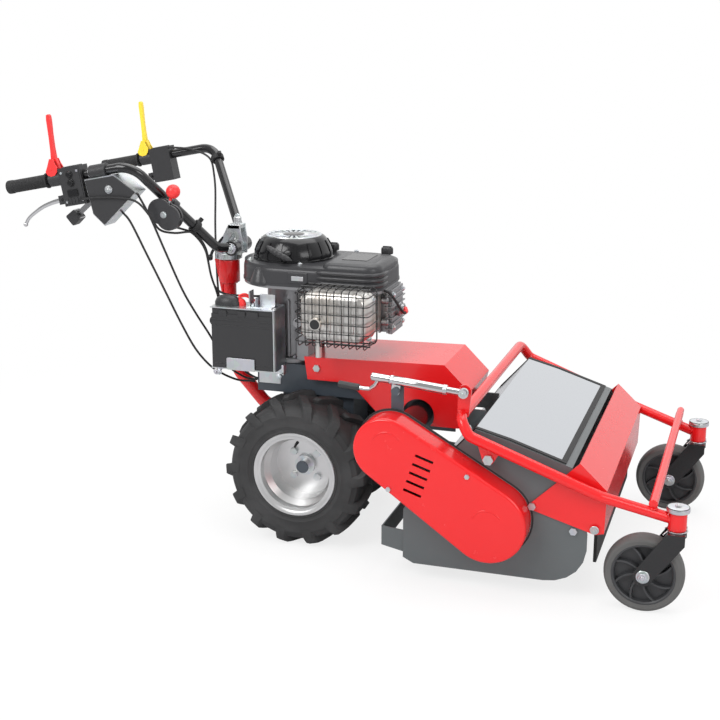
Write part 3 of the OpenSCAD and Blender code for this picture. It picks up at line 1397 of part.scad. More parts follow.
module throttle_housing() {
    p = bar_path(yoke_half + tilt_hub_w / 2);
    d = unit(p[2] - p[1]);
    at = p[1] + throttle_share * (p[2] - p[1]);
    color("dimgray") placed() difference() {
        union() {
            translate([throttle_x, -throttle_y, throttle_z]) across(-throttle_t / 2, throttle_t / 2)
                for (s = [-1, 1])
                    translate([s * throttle_stretch / 2, -s * throttle_stretch / 3]) circle(r = throttle_r);
            translate(at) rotate([0, acos(d[2]), atan2(d[1], d[0])]) cylinder(r = collar_r, h = clip_t);
            block([throttle_x - lever_w, throttle_t / 2 - over - throttle_y, at[2] - lever_w],
                [throttle_x + lever_w, at[1], at[2] + lever_w]);
        }
        translate(at - 2 * clip_t * d) rotate([0, acos(d[2]), atan2(d[1], d[0])])
            cylinder(r = bar_r + seat_gap, h = 6 * clip_t);
        cable_hole(throttle_cable_top[0], throttle_cable_top[1]);
        translate([throttle_x, -throttle_y, throttle_z]) {
            pin_y(0, 0, -throttle_t, throttle_t / 2 - over, lever_pin_r + run_gap);
            across(-throttle_t / 6, throttle_t / 6) polygon([[0, -2 * lever_pin_r],
                [3 * throttle_r, -2 * lever_pin_r],
                [3 * throttle_r, 3 * throttle_r], [-3 * throttle_r, 3 * throttle_r], [-throttle_r, 0]]);
        }
    }
}

module throttle_lever() color("red") placed() translate([throttle_x, -throttle_y, throttle_z]) {
    pin_y(0, 0, -throttle_t / 2, throttle_t / 3, lever_pin_r);
    rotate([0, throttle_lean, 0]) {
        cylinder(r = throttle_rod_r - free_gap, h = throttle_l);
        translate([0, 0, throttle_l]) sphere(r = ball_r);
    }
}

// Rubber clips round the bars, where the cables are held
module cable_clip(s, share) on_side(s) {
    p = bar_path(yoke_half + tilt_hub_w / 2);
    d = unit(p[2] - p[1]);
    translate(p[1] + share * (p[2] - p[1])) rotate([0, acos(d[2]), atan2(d[1], d[0])]) difference() {
        cylinder(r = collar_r, h = clip_t);
        translate([0, 0, -over]) cylinder(r = bar_r + seat_gap, h = clip_t + 2 * over);
    }
}

function eased(p) = [for (i = [0 : len(p) - 1])
    i > 0 ? p[i] : p[0] + cable_gap * (p[1] - p[0]) / norm(p[1] - p[0])];

module cables_upper() color("black") placed() {
    for (p = [console_cable_top, second_cable_top, throttle_cable_top, clutch_cable_top, drive_cable_top])
        bar_along(p, cable_r, cable_sides, cable_ref);
    cable_clip(right, right_clip_share);
    cable_clip(left, left_clip_share);
}

module cables_lower() color("black") placed() {
    for (p = [console_cable_low, second_cable_low, throttle_cable_low, clutch_cable_low, drive_cable_low])
        bar_along(eased(p), cable_r, cable_sides, cable_ref);
}

chassis_frame();
gearbox_housing();
engine_block();
engine_shroud();
recoil_cover();
filler_caps();
muffler();
muffler_guard();
battery();
battery_tray();
steering_column();
belt_hood();
pto_gearbox();
mower_deck();
belt_cover();
fasteners();
rotor_bearings();
drive_belts();
height_post();
tyre_right();
rim_right();
hub_right();
tyre_left();
rim_left();
hub_left();
swivel_head();
handlebar_right();
handlebar_left();
grip_right();
grip_left();
switch_right();
switch_left();
console_box();
throttle_housing();
starter_grip();
stop_lever();
drive_lever();
clutch_lever();
shift_lever();
throttle_lever();
cables_upper();
cables_lower();
caster_frame();
fork_right();
fork_left();
caster_hub_right();
caster_hub_left();
caster_tread_right();
caster_tread_left();
front_hood();
hood_flap();
spindle_tube();
spindle_rod();
crank_handle();
flail_rotor();
flails_front();
flails_rear();
cross_shaft();
input_shaft();
crankshaft();
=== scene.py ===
"""Walk-behind flail mower: finishes, fine detail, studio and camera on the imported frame."""
import json
import math

import bmesh
import bpy
from mathutils import Matrix, Vector


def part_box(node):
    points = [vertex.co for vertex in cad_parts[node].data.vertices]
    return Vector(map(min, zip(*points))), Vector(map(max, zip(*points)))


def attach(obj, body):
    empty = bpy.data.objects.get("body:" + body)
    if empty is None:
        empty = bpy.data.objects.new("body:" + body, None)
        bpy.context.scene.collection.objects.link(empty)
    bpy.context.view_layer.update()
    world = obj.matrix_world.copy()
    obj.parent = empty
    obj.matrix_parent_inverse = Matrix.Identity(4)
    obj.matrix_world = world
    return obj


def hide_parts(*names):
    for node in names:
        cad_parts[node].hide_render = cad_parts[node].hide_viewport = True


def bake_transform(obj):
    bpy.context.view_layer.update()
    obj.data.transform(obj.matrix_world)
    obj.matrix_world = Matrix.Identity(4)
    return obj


bl_info = {
    "name": "Flail Mower",
    "version": (1, 0, 0),
    "blender": (4, 5, 0),
    "location": "3D View > Sidebar > Mower",
    "description": "Dresses the frame of a walk-behind flail mower with detailed pieces and finishes",
    "category": "Add Mesh",
}

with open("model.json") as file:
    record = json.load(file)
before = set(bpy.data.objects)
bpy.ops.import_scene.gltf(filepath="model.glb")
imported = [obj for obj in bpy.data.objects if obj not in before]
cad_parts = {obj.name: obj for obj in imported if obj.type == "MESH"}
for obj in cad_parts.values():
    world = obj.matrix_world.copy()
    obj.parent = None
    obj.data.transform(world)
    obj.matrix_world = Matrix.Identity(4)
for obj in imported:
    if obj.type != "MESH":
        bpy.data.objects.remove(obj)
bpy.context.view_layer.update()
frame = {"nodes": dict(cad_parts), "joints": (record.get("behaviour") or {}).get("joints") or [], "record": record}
NODES = frame["nodes"]
JOINTS = {joint["name"]: joint for joint in frame["joints"]}

# Places are in millimetres from the drive axle: +X forward, +Y to the left, +Z up
MM = 0.001
ORIGIN_X = -JOINTS["wheel_right_spin"]["pos_m"][0] / MM
RIGHT = -1
LEFT = 1
SIDES = {RIGHT: "right", LEFT: "left"}
# Ways that forms stand along. Out and in are meant on the machine's right side
OUT = (0, -1, 0)
INWARD = (0, 1, 0)
UP = (0, 0, 1)
FORWARD = (1, 0, 0)
REARWARD = (-1, 0, 0)


def joint_place(name):
    """Place of a joint, in millimetres from the axle."""
    x, y, z = JOINTS[name]["pos_m"]
    return x / MM + ORIGIN_X, y / MM, z / MM


# Axes of the frame that pieces are placed by
WHEEL = joint_place("wheel_right_spin")
CRANK_X = joint_place("crankshaft_spin")[0]
CROSS_X, CROSS_Z = joint_place("cross_shaft_spin")[::2]
ROTOR_X, ROTOR_Z = joint_place("rotor_spin")[::2]
HEAD_X, HEAD_Y = joint_place("caster_left_swivel")[:2]
CASTER_X, CASTER_Z = joint_place("caster_left_spin")[::2]
FRAME_PIVOT = joint_place("frame_tilt")[::2]
SPINDLE = joint_place("spindle_pivot")
SWIVEL_X = joint_place("handlebar_swing")[0]
TILT_X, TILT_Z = joint_place("handlebar_tilt")[::2]
THROTTLE = joint_place("throttle_turn")
# Corners of the right handlebar's run
BAR_KNEE = (-280, -88, 782)
BAR_BEND = (-440, -264, 1020)
BAR_END = (-810, -264, 948.4)


def low(node):
    """Lowest corner of a node, in millimetres from the axle."""
    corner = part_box(node)[0]
    return Vector((corner.x / MM + ORIGIN_X, corner.y / MM, corner.z / MM))


def high(node):
    """Highest corner of a node, in millimetres from the axle."""
    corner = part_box(node)[1]
    return Vector((corner.x / MM + ORIGIN_X, corner.y / MM, corner.z / MM))


def in_frame(point):
    """A place in the shared frame, in metres."""
    return Vector(((point[0] - ORIGIN_X) * MM, point[1] * MM, point[2] * MM))


def facing(point, way):
    """Matrix that stands a form's own +Z along way at point."""
    return Matrix.Translation(Vector(point)) @ Vector(way).to_track_quat("Z", "Y").to_matrix().to_4x4()


def polar(radius, angle, height):
    """Point at an angle round +Z."""
    return radius * math.cos(angle), radius * math.sin(angle), height


def circle(radius, count, height=0.0):
    """Points of a level circle."""
    return [Vector(polar(radius, 2 * math.pi / count * i, height)) for i in range(count)]


def arc(centre, radius, first, last, steps):
    """Points in a plane on an arc, its angles in degrees."""
    angles = [math.radians(first + (last - first) * i / steps) for i in range(steps + 1)]
    return [(centre[0] + radius * math.cos(a), centre[1] + radius * math.sin(a)) for a in angles]


def curve_through(points, steps=8):
    """Smooth curve through given points."""
    p = [Vector(q) for q in points]
    p = [2 * p[0] - p[1]] + p + [2 * p[-1] - p[-2]]
    out = []
    for a, b, c, d in zip(p, p[1:], p[2:], p[3:]):
        for i in range(steps):
            t = i / steps
            out.append(0.5 * (2 * b + (c - a) * t + (2 * a - 5 * b + 4 * c - d) * t * t
                              + (3 * b - a - 3 * c + d) * t ** 3))
    return out + [p[-2]]


def bent_run(points, radius, steps=8):
    """Straight runs whose inner corners are turned by arcs."""
    p = [Vector(q) for q in points]
    out = [p[0]]
    for a, b, c in zip(p, p[1:], p[2:]):
        u = (a - b).normalized()
        w = (c - b).normalized()
        turn = (-u).angle(w)
        middle = b + (u + w).normalized() * radius / math.cos(turn / 2)
        edge = (b + u * radius * math.tan(turn / 2) - middle).normalized()
        out += [middle + radius * (edge * math.cos(turn * i / steps) - u * math.sin(turn * i / steps))
                for i in range(steps + 1)]
    return out + [p[-1]]


def belt_outline(a, ra, b, rb, steps=32):
    """Outline round two circles and the straight sides that touch both."""
    dx, dz = b[0] - a[0], b[1] - a[1]
    wide = math.degrees(math.acos((ra - rb) / math.hypot(dx, dz)))
    heading = math.degrees(math.atan2(dz, dx))
    return (arc(a, ra, heading + wide, heading + 360 - wide, steps)
            + arc(b, rb, heading - wide, heading + wide, steps))


def both_faces(profile):
    """A wheel's profile of radius and height, carried on over the other face."""
    return profile + [(r, -h) for r, h in profile[::-1]]


class Value:
    """A shader socket. Python's operators on it add Math nodes."""

    def __init__(self, tree, socket):
        self.tree = tree
        self.socket = socket

    def math(self, operation, a, b):
        return self.tree.node("ShaderNodeMath", {"operation": operation}, {0: a, 1: b})

    def __add__(self, other):
        return self.math("ADD", self, other)

    def __sub__(self, other):
        return self.math("SUBTRACT", self, other)

    def __rsub__(self, other):
        return self.math("SUBTRACT", other, self)

    def __mul__(self, other):
        return self.math("MULTIPLY", self, other)

    __radd__ = __add__
    __rmul__ = __mul__

    def ramp(self, first, last):
        """0 below first and 1 above last, in between a smooth step."""
        return self.tree.node("ShaderNodeMapRange", {"interpolation_type": "SMOOTHSTEP"},
                              {"Value": self, "From Min": first, "From Max": last})


class Tree:
    """The node tree of a finish or of the world."""

    def __init__(self, owner):
        owner.use_nodes = True
        self.owner = owner
        self.nodes = owner.node_tree.nodes
        self.links = owner.node_tree.links
        self.nodes.clear()

    def node(self, kind, settings=None, inputs=None, out=0):
        """Adds a node: its settings first, then the values or links of its sockets."""
        made = self.nodes.new(kind)
        for key, value in (settings or {}).items():
            setattr(made, key, value)
        for key, value in (inputs or {}).items():
            if isinstance(value, Value):
                self.links.new(value.socket, made.inputs[key])
            else:
                made.inputs[key].default_value = value
        return Value(self, made.outputs[out]) if made.outputs else None

    def place(self, stretch=(1, 1, 1)):
        """Place on the piece, in metres, stretched along its axes."""
        spot = self.node("ShaderNodeTexCoord", out="Object")
        return self.node("ShaderNodeMapping", {}, {"Vector": spot, "Scale": stretch})

    def noise(self, scale, detail=3.0, stretch=(1, 1, 1)):
        return self.node("ShaderNodeTexNoise", {},
                         {"Vector": self.place(stretch), "Scale": scale, "Detail": detail})

    def cells(self, scale):
        return self.node("ShaderNodeTexVoronoi", {}, {"Vector": self.place(), "Scale": scale}, "Color")

    def mix(self, share, a, b):
        """Colour between a and b."""
        return self.node("ShaderNodeMix", {"data_type": "RGBA"}, {"Factor": share, 6: a, 7: b}, 2)

    def bump(self, height, depth, strength):
        return self.node("ShaderNodeBump", {}, {"Height": height, "Distance": depth, "Strength": strength})

    def close(self, uniform, varying):
        """Ends the tree in one surface shader and returns the material."""
        return self.end(self.node("ShaderNodeBsdfPrincipled", {}, {**uniform, **varying}))

    def end(self, shader, kind="ShaderNodeOutputMaterial"):
        """Ends the tree in its output and returns what it belongs to."""
        self.node(kind, {}, {"Surface": shader})
        return self.owner


def rgba(colour, share=1.0):
    """A colour as four numbers, made darker or paler by share."""
    return tuple(min(1.0, c * share) for c in colour[:3]) + (1.0,)


def paint_finish(name, colour, rough, coat, dusty):
    """Sprayed enamel: orange peel, slow drift of tone and a thin film of dust."""
    t = Tree(bpy.data.materials.new(name))
    drift = t.noise(3.5, 4.0)
    dust = t.noise(38.0, 6.0).ramp(0.52, 0.8) * t.noise(5.0).ramp(0.4, 0.7)
    tone = t.mix(drift, rgba(colour, 0.93), rgba(colour, 1.07))
    base = t.mix(dust * dusty, tone, (0.55, 0.53, 0.5, 1.0))
    roughness = rough + t.noise(60.0, 4.0) * 0.08 + dust * 0.12
    peel = t.bump(t.noise(420.0, 2.0), 0.00006, 0.35)
    return t.close({"Coat Weight": coat, "Coat Roughness": 0.06},
                   {"Base Color": base, "Roughness": roughness, "Normal": peel})


def plastic_finish(name, colour, rough, grain):
    """Moulded plastic with a fine spark-eroded grain and scuffed high spots."""
    t = Tree(bpy.data.materials.new(name))
    drift = t.noise(6.0, 4.0)
    scuff = t.noise(30.0, 8.0, (1, 1, 0.35)).ramp(0.58, 0.82)
    tone = t.mix(drift, rgba(colour, 0.86), rgba(colour, 1.14))
    base = t.mix(scuff * 0.14, tone, rgba(colour, 2.2))
    roughness = rough + t.noise(140.0) * 0.12 - scuff * 0.06
    skin = t.bump(t.noise(900.0, 2.0), grain * MM, 0.5)
    return t.close({}, {"Base Color": base, "Roughness": roughness, "Normal": skin})


def rubber_finish(name, colour, rough, dusty):
    """Rubber with a chalky bloom and a pebbled skin."""
    t = Tree(bpy.data.materials.new(name))
    bloom = t.noise(14.0, 6.0).ramp(0.4, 0.75)
    fine = t.noise(260.0, 4.0)
    base = t.mix(bloom * dusty, rgba(colour, 0.9), rgba(colour, 2.4))
    roughness = rough + fine * 0.14 + bloom * 0.06
    skin = t.bump(fine + t.noise(60.0) * 0.6, 0.00035, 0.5)
    return t.close({"Specular IOR Level": 0.35},
                   {"Base Color": base, "Roughness": roughness, "Normal": skin})


def metal_finish(name, colour, rough, streak, spangle, wear=1.0, tint=None):
    """Bare, plated or brushed metal: streaks along its length, spangle and stains."""
    t = Tree(bpy.data.materials.new(name))
    brush = t.noise(90.0, 5.0, streak)
    stain = t.noise(9.0, 5.0).ramp(0.45, 0.8)
    tone = t.mix(brush, rgba(colour, 1 - 0.12 * wear), rgba(colour, 1 + 0.06 * wear))
    if spangle:
        tone = t.mix(spangle, tone, t.cells(55.0))
    if tint:
        stained = t.mix(stain * 0.5, tone, rgba(tint))
    else:
        stained = t.mix(stain * (0.12 * wear), tone, rgba(colour, 0.72))
    roughness = rough + (brush * 0.16 + stain * 0.08) * wear
    lines = t.bump(brush, 0.00005, 0.4 * wear)
    return t.close({"Metallic": 1.0}, {"Base Color": stained, "Roughness": roughness, "Normal": lines})


def cast_finish(name, colour, rough, metallic):
    """Sand-cast or die-cast skin with pits and dull patches."""
    t = Tree(bpy.data.materials.new(name))
    pits = t.noise(240.0, 5.0)
    patch = t.noise(12.0, 4.0)
    base = t.mix(patch, rgba(colour, 0.82), rgba(colour, 1.1))
    roughness = rough + pits * 0.16
    skin = t.bump(pits, 0.0003, 0.5)
    return t.close({"Metallic": metallic}, {"Base Color": base, "Roughness": roughness, "Normal": skin})


FINISHES = {}


def make_finishes(c):
    """Fills FINISHES from the colours in the panel, most under the record's slot names."""
    even = (1, 1, 1)
    along_y = (1, 0.08, 1)
    along_z = (1, 1, 0.1)
    heat = (0.62, 0.5, 0.36)
    made = {
        "red_paint": (paint_finish, c.red, 0.2, 0.3, 0.01),
        "deck_paint": (paint_finish, c.deck, 0.34, 0.2, 0.02),
        "chassis_paint": (paint_finish, c.chassis, 0.34, 0.2, 0.02),
        "bar_paint": (paint_finish, c.black, 0.18, 0.4, 0.006),
        "silver_paint": (metal_finish, c.silver, 0.3, even, 0.0, 0.4),
        "zinc": (metal_finish, c.zinc, 0.26, even, 0.06),
        "bare_steel": (metal_finish, c.steel, 0.3, along_y, 0.0),
        "muffler_steel": (metal_finish, c.muffler, 0.24, along_z, 0.0, 1.0, heat),
        "bright_chrome": (metal_finish, c.chrome, 0.07, even, 0.0, 0.12),
        # Deck top sheet: pale polished metal as painted reflection on the dark grey deck top
        "sheet_gloss": (metal_finish, c.sheet, 0.08, even, 0.0, 0.12),
        "cast_alloy": (cast_finish, c.alloy, 0.3, 0.9),
        "cast_housing": (cast_finish, c.chassis, 0.4, 0.0),
        "tyre_rubber": (rubber_finish, c.tyre, 0.55, 0.3),
        "black_rubber": (rubber_finish, c.rubber, 0.5, 0.15),
        "tread_rubber": (rubber_finish, c.tread, 0.5, 0.12),
        "black_plastic": (plastic_finish, c.plastic, 0.38, 0.12),
        "gloss_black": (plastic_finish, c.black, 0.12, 0.02),
        "grey_plastic": (plastic_finish, c.grey, 0.28, 0.1),
        "hub_plastic": (plastic_finish, c.hub, 0.4, 0.12),
        "red_plastic": (plastic_finish, c.lever_red, 0.28, 0.06),
        "yellow_plastic": (plastic_finish, c.lever_yellow, 0.3, 0.06),
    }
    for name, (maker, *values) in made.items():
        FINISHES[name] = maker(name, *values)


class Shape:
    """A mesh put together from simple forms, in millimetres from the axle."""

    def __init__(self):
        self.bm = bmesh.new()

    def skin(self, loops, close=False, caps=True, place=None):
        """Faces between loops of the same count, which are rings of points."""
        m = place or Matrix.Identity(4)
        rows = [[self.bm.verts.new(m @ Vector(p)) for p in loop] for loop in loops]
        pairs = list(zip(rows, rows[1:]))
        if close:
            pairs.append((rows[-1], rows[0]))
        for a, b in pairs:
            for i in range(len(a)):
                j = (i + 1) % len(a)
                self.bm.faces.new((a[i], a[j], b[j], b[i]))
        if caps and not close:
            self.bm.faces.new(rows[0][::-1])
            self.bm.faces.new(rows[-1])
        return self

    def lathe(self, profile, place, count=48, close=False):
        """Turns a profile of (radius, height) pairs round +Z."""
        least = 0.02
        return self.skin([circle(max(r, least), count, h) for r, h in profile], close, True, place)

    def tube(self, path, radius, sides=16):
        """Round bar along a path. The radius may be one number, or one for each point."""
        p = [Vector(q) for q in path]
        radii = radius if isinstance(radius, (list, tuple)) else [radius] * len(p)
        ways = [(p[min(i + 1, len(p) - 1)] - p[max(i - 1, 0)]).normalized() for i in range(len(p))]
        side = ways[0].orthogonal().normalized()
        loops = []
        for centre, way, r in zip(p, ways, radii):
            side = (side - way * side.dot(way)).normalized()
            up = way.cross(side)
            loops.append([centre + side * q.x + up * q.y for q in circle(r, sides)])
        return self.skin(loops)

    def prism(self, outline, y0, y1, place=None):
        """An outline in X and Z, drawn out from y0 to y1."""
        return self.stack([(outline, y0), (outline, y1)], place)

    def stack(self, loops, place=None):
        """An outline that changes along Y: pairs of an outline and its y."""
        return self.skin([[(x, y, z) for x, z in outline] for outline, y in loops], place=place)

    def slab(self, a, b, place=None):
        """Block between two corners."""
        outline = [(a[0], a[2]), (b[0], a[2]), (b[0], b[2]), (a[0], b[2])]
        return self.prism(outline, a[1], b[1], place)

    def slabs(self, blocks, origin):
        """Blocks between pairs of corners, which are measured from origin."""
        for a, b in blocks:
            self.slab(origin + Vector(a), origin + Vector(b))
        return self

    def bolt(self, point, way, r, washer=True):
        """Hexagon head on a washer, standing on point along way."""
        place = facing(point, way)
        rise = 0.28 * r if washer else 0.0
        if washer:
            self.lathe([(2.2 * r, 0), (2.2 * r, 0.2 * r), (2.1 * r, rise)], place, 24)
        hexagon = [(1.7 * r, rise), (1.7 * r, rise + 0.9 * r), (1.5 * r, rise + 1.1 * r)]
        self.lathe(hexagon, place, 6)
        stud = [(0.8 * r, rise + r), (0.8 * r, rise + 1.35 * r), (0.6 * r, rise + 1.6 * r)]
        return self.lathe(stud, place, 16)

    def weld(self, centre, way, radius, r):
        """Bead of weld round a joint."""
        place = facing(centre, way)
        ripple = 0.5
        ring = []
        for i, q in enumerate(circle(radius, 40)):
            ring.append(place @ (q + Vector((0, 0, ripple * math.sin(5 * i)))))
        return self.tube(ring + ring[:1], r, 8)

    def carve(self, cutter):
        """Takes another shape's solid out of this one."""
        pair = []
        for bm in (self.bm, cutter.bm):
            bmesh.ops.recalc_face_normals(bm, faces=bm.faces[:])
            mesh = bpy.data.meshes.new("carving")
            bm.to_mesh(mesh)
            bm.free()
            pair.append(bpy.data.objects.new("carving", mesh))
            bpy.context.scene.collection.objects.link(pair[-1])
        cut = pair[0].modifiers.new("cut", "BOOLEAN")
        cut.object = pair[1]
        cut.solver = "EXACT"
        bpy.context.view_layer.update()
        seen = pair[0].evaluated_get(bpy.context.evaluated_depsgraph_get())
        self.bm = bmesh.new()
        self.bm.from_mesh(seen.to_mesh())
        seen.to_mesh_clear()
        for obj in pair:
            mesh = obj.data
            bpy.data.objects.remove(obj)
            bpy.data.meshes.remove(mesh)
        return self

    def piece(self, name, finish, body, side=RIGHT, bevel=0.0, replaces=(), angle=38.0):
        """Makes the object, gives it its finish and sets it on its body."""
        bm = self.bm
        bmesh.ops.recalc_face_normals(bm, faces=bm.faces[:])
        for vert in bm.verts:
            place = in_frame(vert.co)
            vert.co = Vector((place.x, -place.y, place.z)) if side == LEFT else place
        if side == LEFT:
            bmesh.ops.reverse_faces(bm, faces=bm.faces[:])
        mesh = bpy.data.meshes.new(name)
        bm.to_mesh(mesh)
        bm.free()
        mesh.shade_smooth()
        mesh.set_sharp_from_angle(angle=math.radians(angle))
        obj = bpy.data.objects.new(name, mesh)
        bpy.context.scene.collection.objects.link(obj)
        mesh.materials.append(FINISHES[finish])
        if bevel:
            soften(obj, bevel)
        if replaces:
            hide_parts(*replaces)
        if body:
            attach(obj, body)
        return obj


def soften(obj, width):
    """Rounds the sharp edges of an object with a modifier."""
    bevel = obj.modifiers.new("soft_edges", "BEVEL")
    bevel.width = width * MM
    bevel.segments = 2
    bevel.limit_method = "ANGLE"
    bevel.angle_limit = math.radians(35)
    bevel.harden_normals = True
    bevel.use_clamp_overlap = True


def declare_cord(obj, run):
    """Works out run in the frame's metres and keeps nothing; obj is not used."""
    line = [in_frame(p) for p in run]


def colour_property(name, words, value):
    """A colour that the panel shows."""
    return bpy.props.FloatVectorProperty(name=name, description=words, default=value, subtype="COLOR",
                                         min=0.0, max=1.0)


def size_property(name, words, value):
    """A length that the panel shows, given here in millimetres."""
    return bpy.props.FloatProperty(name=name, description=words, default=value * MM, min=0.0, precision=4,
                                   subtype="DISTANCE", unit="LENGTH")


class MowerColours(bpy.types.PropertyGroup):
    """Base colours of the finishes."""

    red: colour_property("Red enamel", "Frame, covers and hoods", (0.68, 0.008, 0.01))
    deck: colour_property("Deck grey", "Deck sheet", (0.088, 0.1, 0.104))
    chassis: colour_property("Chassis grey", "Chassis and gearbox", (0.055, 0.068, 0.085))
    black: colour_property("Gloss black", "Bars, forks and the starter cover", (0.007, 0.007, 0.008))
    silver: colour_property("Rim silver", "Wheel rims", (0.8, 0.8, 0.8))
    zinc: colour_property("Zinc", "Plated fasteners and brackets", (0.74, 0.77, 0.79))
    steel: colour_property("Steel", "Bare steel", (0.42, 0.42, 0.43))
    # Pale: painted reflection on the deck's dark grey top
    sheet: colour_property("Deck sheet", "Polished sheet on top of the deck", (0.6, 0.62, 0.65))
    muffler: colour_property("Muffler", "Heat-tinted sheet", (0.84, 0.82, 0.79))
    chrome: colour_property("Chrome", "Spindle and clutch lever", (0.72, 0.72, 0.73))
    alloy: colour_property("Cast alloy", "Engine castings", (0.36, 0.36, 0.37))
    tyre: colour_property("Tyre", "Drive tyres", (0.034, 0.034, 0.035))
    rubber: colour_property("Rubber", "Grips, flap, cables and clips", (0.022, 0.022, 0.023))
    tread: colour_property("Caster tread", "Caster treads", (0.105, 0.104, 0.102))
    plastic: colour_property("Black plastic", "Battery and switches", (0.026, 0.026, 0.028))
    grey: colour_property("Grey plastic", "Engine shroud", (0.034, 0.034, 0.037))
    hub: colour_property("Caster hub", "Caster hubs", (0.04, 0.041, 0.044))
    lever_red: colour_property("Lever red", "Stop lever and throttle ball", (0.78, 0.03, 0.03))
    lever_yellow: colour_property("Lever yellow", "Drive lever", (0.85, 0.62, 0.04))


class MowerSizes(bpy.types.PropertyGroup):
    """Sizes of the detail that a user would change."""

    edge: size_property("Edge", "Rounding of the pressed and machined edges", 1.2)
    lug_height: size_property("Lug height", "Height of a tyre lug", 20.0)
    cover_edge: size_property("Cover edge", "Rounding of the belt cover's rim", 8.0)
    shroud_edge: size_property("Shroud edge", "Rounding of the engine shroud's top", 20.0)


class MowerOperator:
    """What all operators share: the panel's sizes."""

    bl_options = {"REGISTER"}

    @staticmethod
    def size(name):
        """One of the panel's sizes, in millimetres."""
        return getattr(bpy.context.scene.mower_sizes, name) / MM


class MOWER_OT_finishes(MowerOperator, bpy.types.Operator):
    """Makes the finishes and gives them to the frame's own nodes"""

    bl_idname = "mower.finishes"
    bl_label = "Finishes"

    # Edges that turn by more than this look sharp, in degrees
    SHARP = 30

    def execute(self, context):
        make_finishes(context.scene.mower_colours)
        for part in frame["record"]["subparts"]:
            node = NODES[part["node"]]
            node.data.materials.clear()
            node.data.materials.append(FINISHES[part["material_slot"]])
            node.data.shade_smooth()
            node.data.set_sharp_from_angle(angle=math.radians(self.SHARP))
            soften(node, self.size("edge"))
        return {"FINISHED"}


class MOWER_OT_stage(MowerOperator, bpy.types.Operator):
    """Sets up the floor, the light, the world and the camera"""

    bl_idname = "mower.stage"
    bl_label = "Stage"

    # Half the floor's width, and where its shadow fades out, in metres
    FLOOR_HALF = 14.0
    FADE = (0.7, 2.2)
    # Lamps: name, place, aim and width in metres, power in watts
    LAMPS = [
        ("key", (-1.8, -3.2, 3.4), (0, 0, 0.4), 2.4, 105.0),
        ("fill", (3.2, -2.4, 2.2), (0.2, 0, 0.4), 2.0, 40.0),
        ("top", (0.2, 0.6, 3.8), (0, 0, 0.3), 3.2, 70.0),
    ]
    # Camera: place and lens in millimetres, yaw and pitch in degrees
    CAMERA = (1188.6, -3336.6, 1413.8)
    LENS = 65.0
    SENSOR = 36.0
    YAW = 17.98
    PITCH = 15.06

    def execute(self, context):
        self.floor(context)
        self.world(context)
        self.lamps(context)
        self.camera(context)
        context.scene.view_settings.view_transform = "Standard"
        return {"FINISHED"}

    def floor(self, context):
        """White floor that keeps the shadow near the machine."""
        half = self.FLOOR_HALF
        corners = [(-half, -half, 0), (half, -half, 0), (half, half, 0), (-half, half, 0)]
        mesh = bpy.data.meshes.new("floor")
        mesh.from_pydata(corners, [], [(0, 1, 2, 3)])
        floor = bpy.data.objects.new("floor", mesh)
        context.scene.collection.objects.link(floor)
        t = Tree(bpy.data.materials.new("floor_white"))
        seen = t.node("ShaderNodeLightPath", out="Is Camera Ray")
        mirror = t.node("ShaderNodeLightPath", out="Is Glossy Ray")
        cloud = t.mix(t.noise(0.8), (0.82, 0.82, 0.82, 1), (0.86, 0.86, 0.86, 1))
        # Glossy rays see the floor darker grey: painted shade that dims its reflection in the machine
        shade = t.mix(mirror, cloud, (0.45, 0.45, 0.46, 1))
        lit = t.node("ShaderNodeBsdfDiffuse", {}, {"Color": shade})
        glow = t.node("ShaderNodeEmission", {}, {"Strength": 1.0})
        reach = t.node("ShaderNodeVectorMath", {"operation": "LENGTH"}, {0: t.place()}, "Value")
        share = seen * (0.78 + reach.ramp(*self.FADE) * 0.22)
        mesh.materials.append(t.end(t.node("ShaderNodeMixShader", {}, {0: share, 1: lit, 2: glow})))

    def world(self, context):
        """White to the camera, and for metal darker on the camera's side."""
        context.scene.world = bpy.data.worlds.new("studio")
        t = Tree(context.scene.world)
        seen = t.node("ShaderNodeLightPath", out="Is Camera Ray")
        mirror = t.node("ShaderNodeLightPath", out="Is Glossy Ray")
        through = t.node("ShaderNodeLightPath", out="Is Transmission Ray")
        way = t.node("ShaderNodeTexCoord", out="Generated")
        far = t.node("ShaderNodeSeparateXYZ", {}, {0: way}, "Y").ramp(-0.5, 0.5)
        shown = t.node("ShaderNodeMath", {"operation": "MAXIMUM"}, {0: seen, 1: through})
        plain = 0.84 + mirror * (far * 0.62 - 0.44)
        strength = shown + (1 - shown) * plain
        back = t.node("ShaderNodeBackground", {}, {"Color": (1, 1, 1, 1), "Strength": strength})
        t.end(back, "ShaderNodeOutputWorld")

    def lamps(self, context):
        for name, spot, aim, width, power in self.LAMPS:
            data = bpy.data.lights.new(name, "AREA")
            data.size = width
            data.energy = power
            lamp = bpy.data.objects.new(name, data)
            context.scene.collection.objects.link(lamp)
            lamp.location = spot
            lamp.rotation_euler = (Vector(aim) - Vector(spot)).to_track_quat("-Z", "Y").to_euler()

    def camera(self, context):
        data = bpy.data.cameras.new("camera")
        data.lens = self.LENS
        data.sensor_width = self.SENSOR
        data.clip_end = 60.0
        camera = bpy.data.objects.new("camera", data)
        context.scene.collection.objects.link(camera)
        camera.location = in_frame(self.CAMERA)
        yaw, pitch = math.radians(self.YAW), math.radians(self.PITCH)
        way = Vector((-math.sin(yaw) * math.cos(pitch), math.cos(yaw) * math.cos(pitch), -math.sin(pitch)))
        camera.rotation_euler = way.to_track_quat("-Z", "Y").to_euler()
        context.scene.camera = camera


